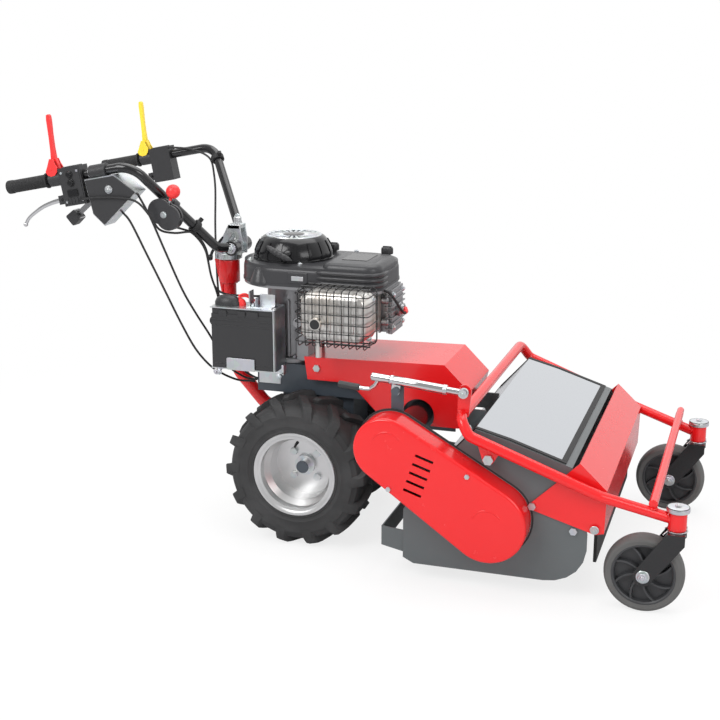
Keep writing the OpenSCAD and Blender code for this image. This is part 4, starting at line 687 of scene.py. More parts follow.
class MOWER_OT_tyres(MowerOperator, bpy.types.Operator):
    """Builds the two lugged drive tyres, their valves, rim edges and dark dishes painted as the shade of the axle
    bores
    """

    bl_idname = "mower.tyres"
    bl_label = "Tyres"

    # Profiles: radius, and height outward from the wheel's middle plane
    WALL = [(103.3, 65), (110, 67.5), (117, 69), (119, 71.4), (123, 71.6), (124.5, 70.4), (132, 71.8),
            (134, 73.4), (137, 73.6), (139, 72.8), (150, 74.2), (160, 74.4), (163, 75.2), (166, 75.2),
            (168, 73.6), (179, 70), (185, 63), (189, 48), (190, 24), (190, 0)]
    LINING = [(174, 0), (172, 44), (162, 62), (140, 62), (118, 57), (103.3, 55)]
    RIM_EDGE = [(103, 66), (110, 71.5), (116, 72), (117.5, 70), (116, 68.5), (110, 68), (104, 63)]
    # Profile of the dark dish at the bore's end, painted shade of the bore, and the hub's face that it stands on
    BORE = [(17.5, 0), (17.5, 1.6), (16.8, 2.2), (15.4, 2.2), (14.6, 1.2), (0.5, 1.0)]
    HUB_FACE_Y = -185
    VALVE = [(0, 82, 40), (0, 80, 52), (0, 76, 62)]
    VALVE_RADII = [4.5, 3.6, 3.2]
    # Lugs: count on each half, slant along the tread, radius of their roots, half width of the tread
    LUGS = 14
    LUG_LEAN = 46
    LUG_ROOT = 185
    TREAD_HALF = 76

    def execute(self, context):
        place = facing(WHEEL, OUT)
        for side, word in SIDES.items():
            body = "wheel_" + word
            tyre = Shape()
            self.carcass(tyre, place)
            self.lugs(tyre, place)
            tyre.piece("tyre_casing_" + word, "tyre_rubber", body, side, replaces=["tyre_" + word],
                       angle=30, bevel=1.5)
            valve = Shape()
            valve.tube([place @ Vector(p) for p in self.VALVE], self.VALVE_RADII, 12)
            valve.piece("valve_" + word, "black_rubber", body, side)
            ring = Shape()
            ring.lathe(self.RIM_EDGE, place, 72, close=True)
            ring.piece("rim_edge_" + word, "silver_paint", body, side)
            # Dark shallow dish on the hub: painted shade of the axle's bore
            bore = Shape()
            bore.lathe(self.BORE, facing((0, self.HUB_FACE_Y, WHEEL[2]), OUT), 36)
            bore.piece("bore_painted_shade_" + word, "chassis_paint", body, side)
        return {"FINISHED"}

    def carcass(self, shape, place):
        outer = self.WALL + [(r, -h) for r, h in self.WALL[-2::-1]]
        inner = [(r, -h) for r, h in self.LINING[::-1]] + self.LINING[1:]
        shape.lathe(outer + inner, place, 96, close=True)

    def lugs(self, shape, place):
        top = self.LUG_ROOT + self.size("lug_height")
        # Across the tread: height, crown radius, root radius, half widths of crown and root
        cuts = [(-5, top - 6, 176, 7, 11), (2, top, 176, 10, 14), (26, top, 176, 11, 15),
                (48, top - 0.5, 176, 12, 16), (62, top - 2.5, 174, 13, 17), (70, top - 8, 170, 13, 17),
                (75.5, 184, 160, 11, 15), (76, 168, 158, 8, 12)]
        for up in (1, -1):
            for i in range(self.LUGS):
                turn = 2 * math.pi * (i + up / 4) / self.LUGS
                loops = []
                for h, crown, root, crown_half, root_half in cuts:
                    slide = self.LUG_LEAN * (0.5 - h / self.TREAD_HALF)
                    corners = [(root, -root_half), (crown, -crown_half)]
                    corners += [(crown, crown_half), (root, root_half)]
                    loops.append([polar(r, turn + (slide + w) / r, up * h) for r, w in corners])
                shape.skin(loops, place=place)


class MOWER_OT_engine(MowerOperator, bpy.types.Operator):
    """Builds the engine's shroud, starter cover, head, lead and small castings"""

    bl_idname = "mower.engine"
    bl_label = "Engine"

    # Corners of the shroud seen from above, each a centre and a radius
    BLOWER_R = 140
    FAR_CORNER = ((94, 30), 110)
    NEAR_CORNER = ((162, -98), 42)
    # Rounding of the air filter cover's upper edge, wall of the shroud and lean of its sides
    NOSE_EDGE = 17
    WALL = 3
    LEAN = 0.6
    # Flutes on the near side: their plane, radius and heights over the shroud's lower edge
    FLUTE_Y = -138.5
    FLUTE_R = 6.2
    FLUTE_HEIGHTS = (15, 29, 43)
    # Ribs over the nose's upper edge: count, first place, pitch and radius
    RIBS = 9
    RIB_Y = -92
    RIB_PITCH = 12
    RIB_R = 3
    # Boss at the rear corner: its place seen from above, and its bell as radius and height
    BOSS = (-139, -116)
    BELL = [(30, -2), (31, 4), (29, 10), (26, 18), (20, 34), (14, 44), (8, 48), (1, 49)]
    # Blocks on the near side, their heights over the shroud's lower edge
    PAD = ((-52, -141.5, 10), (4, -137, 40))
    PLATE = ((-42, -142.4, 18), (-8, -141, 30))
    TABS = [((x, -143, -8), (x + 12, -138, 8)) for x in (96, 128)]
    # Places on the top, seen from above: bolts, filler caps and the panel's two corners
    TOP_BOLTS = ((-184.24, -80.84), (-28.2, -110.92), (-184.24, 80.84), (56.4, 120.32))
    FILLERS = ((-5, 97), (158, 84))
    PANEL = ((78, -74), (150, 22))
    # Filler cap: neck as radius and height, ridges, their radii, heights with shares of those
    NECK = [(10, 0), (10, 6), (12, 6), (12, 9)]
    CAP_RIDGES = 14
    CAP_RADII = (15.2, 16.8)
    CAP_STEPS = [(6, 0.96), (8, 1), (20, 1), (24, 0.9), (25, 0.7)]
    CAP_BAR = ((-12, -2.5, 24), (12, 2.5, 27.5))
    # Starter cover: louvres and spokes, with half their thickness
    LOUVRES = 16
    LOUVRE_HALF = 3.6
    SPOKES = 22
    SPOKE_HALF = 3.4
    # Ends of the pull handle, and the way that its rope is pulled
    HANDLE = (Vector((-119, -122, 800)), Vector((-48, -122, 764)))
    PULL = Vector((-0.6, -0.8, 0))
    # Cylinder head: lowest height, foremost face, fins, and the plug's height
    HEAD_LOW = 568
    HEAD_FACE = 214
    FINS = 7
    FIN_PITCH = 15
    FIN_T = 4
    PLUG_Z = 625
    # Studs beside the head, and bolts on its face, in Y and Z
    STUDS = [(y, z) for y in (-66, 66) for z in (600, 660)]
    FACE_BOLTS = [(y, z) for y in (-44, 44) for z in (582, 672)]
    # Crankcase: foot's height and profile, ribs, and circle of the bolts
    CASE_Z = 470
    CASE_FOOT = [(92, 0), (92, 10), (88, 14), (76, 16)]
    CASE_RIBS = 10
    CASE_RIB = ((70, -3, 0), (84, 3, 160))
    CASE_BOLT_R = 84
    LEAD = [(196, -92, 694), (214, -88, 688), (228, -78, 668), (238, -58, 640), (243, -34, 622),
            (241, -12, 620), (236, 0, 625)]
    LEAD_R = 3.6

    def execute(self, context):
        self.base = low("engine_shroud").z
        self.top = low("recoil_cover").z
        self.hat = high("engine_shroud").z - self.base
        self.shroud()
        self.shroud_trim()
        self.filler_caps()
        self.starter()
        self.pull_handle()
        self.head()
        self.crankcase()
        self.spark_lead()
        return {"FINISHED"}

    def plan(self, inset):
        """The shroud's outline seen from above: blower end, far corner and near corner."""
        blower = arc((CRANK_X, 0), self.BLOWER_R - inset, -90, -270, 28)
        far = arc(self.FAR_CORNER[0], self.FAR_CORNER[1] - inset, 90, 0, 12)
        near = arc(self.NEAR_CORNER[0], self.NEAR_CORNER[1] - inset, 0, -90, 8)
        return blower + far + near

    def nose_plan(self, inset):
        """The outline of the raised air filter cover."""
        near = arc(self.NEAR_CORNER[0], self.NEAR_CORNER[1] - inset, -90, 0, 8)
        return (arc((66, -110), 30 - inset, 180, 270, 6) + near
                + arc((164, 20), 40 - inset, 0, 90, 6) + arc((66, 30), 30 - inset, 90, 180, 6))

    @staticmethod
    def rounded(top, radius, inset):
        """Heights and insets of a rounded upper edge."""
        return [(top - radius + radius * math.sin(a), inset + radius * (1 - math.cos(a)))
                for a in (0.4, 0.8, 1.2, 1.57)]

    def lifted(self, outline, height):
        """An outline seen from above, at a height over the shroud's lower edge."""
        return [(x, y, self.base + height) for x, y in outline]

    def shroud(self):
        edge = self.size("shroud_edge")
        tall = self.top - self.base
        steps = [(0, -1.6), (6, -1.6), (6.5, 0), (tall - edge, self.LEAN)]
        steps += self.rounded(tall, edge, self.LEAN)
        shape = Shape()
        loops = [self.lifted(self.plan(inset), h) for h, inset in steps]
        loops += [self.lifted(self.plan(self.WALL), h) for h in (tall - self.WALL, 0)]
        shape.skin(loops, caps=False)
        inner = [(x, y, self.top) for x, y in self.plan(self.LEAN + edge)]
        shape.bm.faces.new([shape.bm.verts.new(p) for p in inner])
        hat = self.hat
        crown = [(tall - edge * 0.9, 2), (hat - self.NOSE_EDGE, 2)] + self.rounded(hat, self.NOSE_EDGE, 2)
        shape.skin([self.lifted(self.nose_plan(inset), h) for h, inset in crown])
        # Long flutes on the near side, that run round the nose
        run = [(26, self.FLUTE_Y + 1)] + [(x, self.FLUTE_Y) for x in (34, *range(46, 162, 20))]
        run += arc(self.NEAR_CORNER[0], 40.5, -90, 0, 8) + [(202.5, -70), (202, -52)]
        widths = [1.0, 4.5] + [self.FLUTE_R] * (len(run) - 4) + [4.5, 1.0]
        for h in self.FLUTE_HEIGHTS:
            shape.tube(self.lifted(run, h), widths, 12)
        # Short ribs over the nose's upper edge
        rib = [(150, hat - 1.5), (176, hat - 2), (190, hat - 7), (198, hat - 15), (202, hat - 28)]
        radii = [1.2] + [self.RIB_R] * 3 + [1.2]
        for i in range(self.RIBS):
            y = self.RIB_Y + self.RIB_PITCH * i
            shape.tube([(x, y, self.base + h) for x, h in rib], radii, 8)
        shape.piece("shroud_shell", "grey_plastic", "chassis", replaces=["engine_shroud"], angle=32)

    def shroud_trim(self):
        foot = Vector((0, 0, self.base))
        boss = Shape()
        boss.lathe(self.BELL, Matrix.Translation((*self.BOSS, self.base)), 32)
        boss.slabs([self.PAD], foot)
        boss.piece("shroud_boss", "grey_plastic", "chassis", bevel=2)
        plate = Shape()
        plate.slabs([self.PLATE], foot)
        plate.piece("shroud_plain_plates", "zinc", "chassis", bevel=0.6)
        bolts = Shape()
        for x, y in self.TOP_BOLTS:
            bolts.bolt((x, y, self.top - 1.5), UP, 4)
        bolts.piece("shroud_bolts", "zinc", "chassis")
        panel = Shape()
        first, last = self.PANEL
        panel.slabs([((*first, self.hat - 0.6), (*last, self.hat + 1.2))], foot)
        panel.piece("shroud_panel", "gloss_black", "chassis", bevel=1)
        tabs = Shape()
        tabs.slabs(self.TABS, foot)
        tabs.piece("shroud_tabs", "black_plastic", "chassis", bevel=1)

    def filler_caps(self):
        caps = Shape()
        wavy = self.CAP_RADII * self.CAP_RIDGES
        rings = [[polar(r * share, math.pi * i / self.CAP_RIDGES, h) for i, r in enumerate(wavy)]
                 for h, share in self.CAP_STEPS]
        for spot in self.FILLERS:
            foot = Matrix.Translation((*spot, self.top))
            caps.lathe(self.NECK, foot, 24)
            caps.skin(rings, place=foot)
            caps.slab(*self.CAP_BAR, foot)
        caps.piece("filler_cap_pair", "black_plastic", "chassis", replaces=["filler_caps"], angle=50)

    def starter(self):
        tall = high("recoil_cover").z - self.top
        place = Matrix.Translation((CRANK_X, 0, self.top))
        dome = Shape()
        # The side's radii, with shares of the cover's height
        side_shares = [(108, 0.3), (105, 0.42), (102, 0.55), (94, 0.78), (86, 0.92), (80, 0.98)]
        profile = [(112, 0), (112, 4), (108, 6)] + [(r, share * tall) for r, share in side_shares]
        profile += [(76, tall), (74, tall + 1.5), (71, tall + 1.5), (70, tall - 2), (31, tall - 2),
                    (30, tall + 1), (26, tall + 2), (12, tall + 2.5), (0, tall + 2.5)]
        dome.lathe(profile, place, 96)
        # Louvres: upright fins with a slanted crown
        fin = [(100, 5), (109.5, 5), (109.5, 0.34 * tall), (104, 0.58 * tall), (95, 0.82 * tall),
               (88, 0.8 * tall)]
        half = self.LOUVRE_HALF
        for i in range(self.LOUVRES):
            turn = Matrix.Rotation(2 * math.pi * i / self.LOUVRES, 4, "Z")
            dome.prism(fin, -half, half, place @ turn)
        # Grille of spokes on the top and the ring round them, in bright zinc: partly real metal, partly painted
        # highlight for the strong reflections on the black cover's top
        grille = Shape()
        spoke = [(29, tall - 3), (72, tall - 3), (72, tall + 1.2), (29, tall + 0.8)]
        half = self.SPOKE_HALF
        for i in range(self.SPOKES):
            turn = Matrix.Rotation(2 * math.pi * i / self.SPOKES + 0.1, 4, "Z")
            grille.prism(spoke, -half, half, place @ turn)
        ring = [(78, tall - 1), (77, tall + 2), (73, tall + 2.4), (70, tall + 1), (70, tall - 3)]
        grille.lathe(ring, place, 96, close=True)
        grille.piece("starter_grille", "zinc", "chassis", bevel=0.8)
        # Guide that the starter rope comes out of
        hump = [(-62, -84, 22), (-66, -98, 24), (-70, -107, 22), (-71, -110, 14), (-70, -108, 4)]
        guide = [(x, y, self.top + h) for x, y, h in curve_through(hump, 5)]
        dome.tube(guide, [8, 9, 10] + [11] * 15 + [9, 8, 6], 16)
        dome.piece("starter_cover", "gloss_black", "chassis", replaces=["recoil_cover"], angle=30,
                   bevel=0.8)

    @staticmethod
    def handle_radius(share):
        """Radius of the pull handle at a share of its length: an oval with finger ridges."""
        oval = (1 - abs(2 * share - 1) ** 3.2) ** 0.5
        return max(2.5, 8.4 * oval * (1 + 0.1 * math.cos(42 * share)))

    def pull_handle(self):
        a, b = self.HANDLE
        bow = self.PULL
        shares = [i / 24 for i in range(25)]
        grip = Shape()
        path = [a + (b - a) * s + bow * 5 * math.sin(math.pi * s) for s in shares]
        grip.tube(path, [self.handle_radius(s) for s in shares], 16)
        middle = (a + b) / 2
        grip.tube([middle + bow * 2, middle - bow * 9, middle - bow * 13], [6.5, 5.5, 4], 14)
        grip.piece("pull_handle", "black_plastic", "starter_grip", replaces=["starter_grip"], angle=60)
        rope = Shape()
        start, end = middle - bow * 40, middle - bow * 6
        rope.tube([start + (end - start) * i / 60 for i in range(61)], 2.4, 10)
        cord = rope.piece("starter_rope", "black_rubber", None)
        in_frame(middle - bow * 24)
        in_frame(middle - bow * 9)
        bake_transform(cord)

    def head(self):
        z0, face = self.HEAD_LOW, self.HEAD_FACE
        head = Shape()
        head.slab((203, -52, z0 - 4), (face, 52, self.base - 10))
        for i in range(self.FINS):
            z = z0 + 10 + i * self.FIN_PITCH
            head.slab((196, -62, z), (face + 4, 62, z + self.FIN_T))
        plug = [(20, 0), (20, 10), (15, 12), (13, 20), (0, 21)]
        head.lathe(plug, facing((face, 0, self.PLUG_Z), FORWARD), 32)
        for y, z in self.STUDS:
            head.lathe([(9, 0), (9, 16), (6, 18)], facing((190, y, z), FORWARD), 20)
        head.piece("cylinder_head", "cast_alloy", "chassis", bevel=1.2)

    def crankcase(self):
        case = Shape()
        foot = Matrix.Translation((CRANK_X, 0, self.CASE_Z))
        rise = Matrix.Translation((0, 0, self.CASE_FOOT[-1][1]))
        for i in range(self.CASE_RIBS):
            turn = Matrix.Rotation(math.pi * (0.55 + 2 * i / self.CASE_RIBS), 4, "Z")
            case.slab(*self.CASE_RIB, foot @ rise @ turn)
        case.lathe(self.CASE_FOOT, foot, 64)
        case.slab((-40, -112, 486), (-6, -62, 560))
        case.lathe([(16, 0), (16, 30), (13, 34), (13, 40)], facing((-24, -110, 600), OUT), 24)
        case.piece("crankcase_ribs", "cast_alloy", "chassis", bevel=1)
        bolts = Shape()
        for y, z in self.FACE_BOLTS:
            bolts.bolt((self.HEAD_FACE, y, z), FORWARD, 4)
        for x, y in arc((CRANK_X, 0), self.CASE_BOLT_R, -190, 10, 5):
            bolts.bolt((x, y, self.CASE_Z + 14), UP, 3.5)
        bolts.piece("engine_bolts", "zinc", "chassis")

    def spark_lead(self):
        run = curve_through(self.LEAD, 6)
        cable = Shape()
        cable.tube(run, self.LEAD_R, 12)
        declare_cord(cable.piece("spark_lead", "black_rubber", "chassis"), run)
        boot = Shape()
        boot.tube([(242, -22, 620), (241, -10, 621), (236, 0, 625), (226, 0, 625)], [5, 6.5, 7.5, 7.5], 16)
        boot.piece("spark_boot", "red_plastic", "chassis")


class MOWER_OT_muffler(MowerOperator, bpy.types.Operator):
    """Builds the muffler's shell with its seam, ribs and outlet, and the wire guard"""

    bl_idname = "mower.muffler"
    bl_label = "Muffler"

    # Shell: sides in X and Z, rounding of its corners, outer face and seam
    SHELL = (5, 190, 568, 700)
    SHELL_CORNER = 30
    FACE_Y = -213.0
    SEAM_Y = -143
    # The shell's y from the engine outward, with how far its outline is drawn in
    STEPS = [(-62, 7), (-70, 2), (-135, 0), (-138, -3), (-142, -3), (-145, 0), (-198, 1), (-206, 3.5),
             (-211, 9), (FACE_Y, 17)]
    # Ribs on the face and on the rear side, with the radii along them
    FACE_RIBS = (90, 122, 154)
    FACE_RIB_R = [2, 5, 6, 6.3, 6.3, 6.3, 6, 5, 2]
    SIDE_RIBS = (588, 634, 680)
    SIDE_RIB_R = [1, 4, 4, 1]
    # Foot below the shell: its y, heights and radius
    FOOT_Y = -196
    FOOT_HEIGHTS = (572, 545, 524)
    FOOT_R = 9
    # Outlet: place on the face, profiles of the pipe and of the black disc set in it as painted shade of its
    # inside
    OUTLET = (54, FACE_Y, 619)
    PIPE = [(24, -2), (24, 2.5), (20, 4), (16.5, 4), (16.5, 13), (15.5, 14), (13.4, 14), (13.4, -6)]
    PIPE_SHADE = [(13.2, 13.5), (13.2, 12.9), (12.6, 12.9), (12.6, -5), (0, -5)]
    # Guard: sides in X and Z, outer plane, bend and radius of its wires
    GUARD = (-6, 199, 557, 711)
    GUARD_Y = -223
    GUARD_BEND = 14
    WIRE_R = 1.6

    def execute(self, context):
        self.shell()
        self.guard()
        return {"FINISHED"}

    def shell(self):
        x0, x1, z0, z1 = self.SHELL
        shape = Shape()
        shape.stack([(self.loop(*self.SHELL, self.SHELL_CORNER, inset), y) for y, inset in self.STEPS])
        for x in self.FACE_RIBS:
            path = [(x, self.FACE_Y + 3.2, z0 + 20 + (z1 - z0 - 40) * k / 8) for k in range(9)]
            shape.tube(path, self.FACE_RIB_R, 12)
        for z in self.SIDE_RIBS:
            rib = [(x0 - 0.5, -150, z), (x0 - 1.5, -165, z), (x0 - 1.5, -185, z), (x0 - 0.5, -198, z)]
            shape.tube(rib, self.SIDE_RIB_R, 10)
        outlet = facing(self.OUTLET, OUT)
        shape.lathe(self.PIPE, outlet, 40)
        shape.tube([(self.OUTLET[0], self.FOOT_Y, z) for z in self.FOOT_HEIGHTS], self.FOOT_R, 18)
        shape.piece("muffler_shell", "muffler_steel", "chassis", replaces=["muffler"], angle=45)
        # Black disc a little way into the pipe: painted shade of the pipe's inside
        pipe_painted_shade = Shape()
        pipe_painted_shade.lathe(self.PIPE_SHADE, outlet, 32)
        pipe_painted_shade.piece("outlet_painted_shade", "black_rubber", "chassis")
        bolts = Shape()
        for x, z in ((x0 + 14, z0 + 4), (x1 - 14, z0 + 4), (x1 - 4, z1 - 24)):
            bolts.bolt((x, self.SEAM_Y, z), OUT, 4)
        bolts.piece("muffler_bolts", "zinc", "chassis")

    @staticmethod
    def loop(x0, x1, z0, z1, corner, inset):
        """Rectangle in X and Z with round corners, drawn in by inset."""
        out = []
        for cx, cz, first in ((x1 - corner, z1 - corner, 0), (x0 + corner, z1 - corner, 90),
                              (x0 + corner, z0 + corner, 180), (x1 - corner, z0 + corner, 270)):
            out += arc((cx, cz), corner - inset, first, first + 90, 8)
        return out

    def guard(self):
        """Cage of crossed wires, bent back round the muffler's edges."""
        x0, x1, z0, z1 = self.GUARD
        y, back = self.GUARD_Y, self.SEAM_Y
        wires = Shape()
        for i in range(10):
            x = x0 + 12 + i * (x1 - x0 - 24) / 9
            run = [(x, back, z1), (x, y, z1), (x, y, z0), (x, back, z0)]
            wires.tube(bent_run(run, self.GUARD_BEND, 6), self.WIRE_R, 10)
        # The level wires lie behind the upright ones
        behind = y + 1.4
        for i in range(6):
            z = z0 + 14 + i * (z1 - z0 - 28) / 5
            run = [(x0, back, z), (x0, behind, z), (x1, behind, z), (x1, back, z)]
            wires.tube(bent_run(run, self.GUARD_BEND, 6), self.WIRE_R, 10)
        for z in (z0, z1):
            wires.tube([(x0 + 6, -180, z), (x1 - 6, -180, z)], self.WIRE_R, 10)
        rim = self.loop(x0, x1, z0, z1, 16, 0)
        wires.tube([(x, back, z) for x, z in rim + rim[:1]], 2, 10)
        for x in (x0 + 20, x1 - 20):
            for z in (z0, z1):
                wires.slab((x - 5, back - 1, z - 1), (x + 5, -120, z + 1))
        wires.piece("guard_wires", "bar_paint", "chassis", replaces=["muffler_guard"], angle=60)


class MOWER_OT_battery(MowerOperator, bpy.types.Operator):
    """Builds the battery's lid, terminals and leads, and the tray's brackets"""

    bl_idname = "mower.battery"
    bl_label = "Battery"

    # Raised fields on the lid: start and length along X
    FIELDS = ((22, 24), (78, 22), (104, 34))
    # Rubber boot on the rear face, as radius and height
    BOOT = [(17, 0), (17, 6), (14, 16), (8, 22), (1, 23)]
    # Dome over a terminal, as radius and height, and how it is squeezed along X and Y
    DOME = [(30, 0), (30, 8), (26, 18), (18, 25), (8, 28), (1, 28.5)]
    SQUEEZE = Matrix.Diagonal((1.25, 0.8, 1.0, 1.0))
    # Blocks of the brackets, from the top's rear corner, the foot's rear corner and its front corner
    TOP_BLOCKS = [((104, 18, -1), (107, 48, 44)), ((122, 18, -1), (125, 48, 26)),
                  ((98, 14, -0.5), (172, 60, 2.5)), ((128, 40, 0), (172, 44, 34))]
    REAR_BLOCKS = [((46, -4.5, -4), (126, -2.8, 30))]
    FRONT_BLOCKS = [((1, -4.5, -3), (30, -1.5, 1)), ((24, -4.5, -6), (30, 16, 22))]
    # Plain plate on the chassis below the engine
    PLATE = ((-160, -94, 408), (-96, -91.5, 450))
    LEAD_R = 2.6

    def execute(self, context):
        self.a, self.b = low("battery"), high("battery")
        self.top = Vector((self.a.x, self.a.y, high("battery_tray").z))
        self.lid()
        self.terminals()
        self.brackets()
        self.leads()
        plate = Shape()
        plate.slab(*self.PLATE)
        plate.piece("plain_plate", "zinc", "chassis", bevel=0.5)
        return {"FINISHED"}

    def lid(self):
        a, b, y = self.a, self.b, self.a.y
        case = Shape()
        case.slab((a.x - 1.5, y - 1.6, b.z - 34), (b.x + 0.1, y + 1, b.z - 30))
        for start, length in self.FIELDS:
            x = a.x + start
            case.slab((x, y - 1.4, b.z - 22), (x + length, y + 2, b.z - 6))
        for z in (a.z + 12, b.z - 48):
            case.slab((a.x + 8, y - 1.2, z), (b.x - 8, y + 1, z + 2))
        case.piece("battery_lid", "black_plastic", "chassis", bevel=0.8)
        boot = Shape()
        boot.lathe(self.BOOT, facing((a.x + 2, y + 40, b.z - 46), REARWARD), 28)
        boot.piece("battery_boot", "black_rubber", "chassis")

    def terminals(self):
        hood = Shape()
        hood.lathe(self.DOME, Matrix.Translation(self.top + Vector((36, 34, 0))) @ self.SQUEEZE, 36)
        hood.piece("terminal_hood", "black_plastic", "chassis")
        red = Shape()
        small = [(r * 0.55, h * 0.7) for r, h in self.DOME]
        red.lathe(small, Matrix.Translation(self.top + Vector((66, 40, 0))) @ self.SQUEEZE, 36)
        red.piece("terminal_cover", "red_plastic", "chassis")

    def brackets(self):
        a, b, y = self.a, self.b, self.a.y
        zinc = Shape()
        zinc.slabs(self.TOP_BLOCKS, self.top)
        zinc.slabs(self.REAR_BLOCKS, a)
        zinc.slabs(self.FRONT_BLOCKS, Vector((b.x, a.y, a.z)))
        zinc.slab((b.x + 3.4, a.y + 1, a.z - 2), (b.x + 4.6, b.y - 2, b.z + 3))
        zinc.piece("tray_brackets", "zinc", "chassis", bevel=0.8)
        bolts = Shape()
        for x in (a.x + 12, a.x + 20, b.x + 14):
            bolts.bolt((x, y - 3, a.z - 12), OUT, 4)
            bolts.tube([(x, y - 3, a.z - 12), (x, y + 14, a.z - 6)], 3.5, 10)
        for spot in ((112, 30, 2), (156, 52, 2)):
            bolts.bolt(self.top + Vector(spot), UP, 4)
        bolts.piece("tray_bolts", "zinc", "chassis")

    def leads(self):
        for i, (lift, shift) in enumerate(((26, 0), (20, 7))):
            points = [(66, 36, lift), (86, 44, lift + 4), (112, 62, 6), (136, 74 + shift, 2),
                      (160, 86, -12)]
            run = curve_through([self.top + Vector(p) for p in points], 6)
            wire = Shape()
            wire.tube(run, self.LEAD_R, 10)
            declare_cord(wire.piece("battery_lead_%d" % i, "red_plastic", "chassis"), run)


class MOWER_OT_belt_cover(MowerOperator, bpy.types.Operator):
    """Builds the pressed belt cover with its slots, ridges and seal"""

    bl_idname = "mower.belt_cover"
    bl_label = "Belt cover"

    # Radii of the cover round the cross shaft and the rotor, and its wall
    CROSS_R = 83
    ROTOR_R = 98
    WALL = 3
    # Slots: place along the cover, lean in degrees, count, pitch, half length and half width
    SLOT_SHARE = 0.335
    SLOT_LEAN = 18
    SLOTS = 5
    SLOT_PITCH = 24
    SLOT_HALF = (24, 3.5)
    # Pressed ridges: radius and angles of an arc
    RIDGE = (40, 25, 165)
    # Seal against the deck: its plane, how far it stands out and its radius
    SEAL_Y = -359
    SEAL_OUT = 4
    SEAL_R = 2.4

    def execute(self, context):
        edge, wall = self.size("cover_edge"), self.WALL
        front, back = low("belt_cover").y, high("belt_cover").y
        shape = Shape()
        steps = [(0, back), (0, front + edge)]
        steps += [(edge * (1 - math.cos(a)), front + edge * (1 - math.sin(a)))
                  for a in (0.3, 0.6, 0.9, 1.2, 1.57)]
        shape.stack([(self.outline(inset), y) for inset, y in steps])
        hollow = Shape()
        inside = [(wall + edge * 0.4, front + wall), (wall, front + edge), (wall, back + 5)]
        hollow.stack([(self.outline(inset), y) for inset, y in inside])
        shape.carve(hollow)
        shape.carve(self.slots(front))
        shape.piece("belt_cover_pressing", "red_paint", "chassis", replaces=["belt_cover"], angle=30)
        self.ridges(front)
        self.seal()
        return {"FINISHED"}

    def outline(self, inset):
        return belt_outline((CROSS_X, CROSS_Z), self.CROSS_R - inset,
                            (ROTOR_X, ROTOR_Z), self.ROTOR_R - inset)

    def slots(self, front):
        """Cutter of the cooling slots, one above the other."""
        slots = Shape()
        run = Vector((ROTOR_X - CROSS_X, 0, ROTOR_Z - CROSS_Z))
        middle = Vector((CROSS_X, front, CROSS_Z)) + run * self.SLOT_SHARE
        turn = Matrix.Translation(middle) @ Matrix.Rotation(math.radians(self.SLOT_LEAN), 4, "Y")
        half_l, half_w = self.SLOT_HALF
        for i in range(self.SLOTS):
            z = self.SLOT_PITCH * (i - self.SLOTS // 2)
            slots.slab((-half_l, -6, z - half_w), (half_l, 9, z + half_w), turn)
        return slots

    def ridges(self, front):
        ridge = Shape()
        radius, first, last = self.RIDGE
        for centre in ((CROSS_X + 4, CROSS_Z + 8), (ROTOR_X, ROTOR_Z)):
            bow = arc(centre, radius, first, last, 30)
            radii = [0.8, 1.8] + [3.0] * (len(bow) - 4) + [1.8, 0.8]
            ridge.tube([(x, front + 2.0, z) for x, z in bow], radii, 10)
        ridge.piece("belt_cover_ridges", "red_paint", "chassis")

    def seal(self):
        lip = Shape()
        rim = self.outline(-self.SEAL_OUT)
        lip.tube([(x, self.SEAL_Y, z) for x, z in rim + rim[:1]], self.SEAL_R, 8)
        lip.piece("cover_seal", "black_rubber", "chassis")


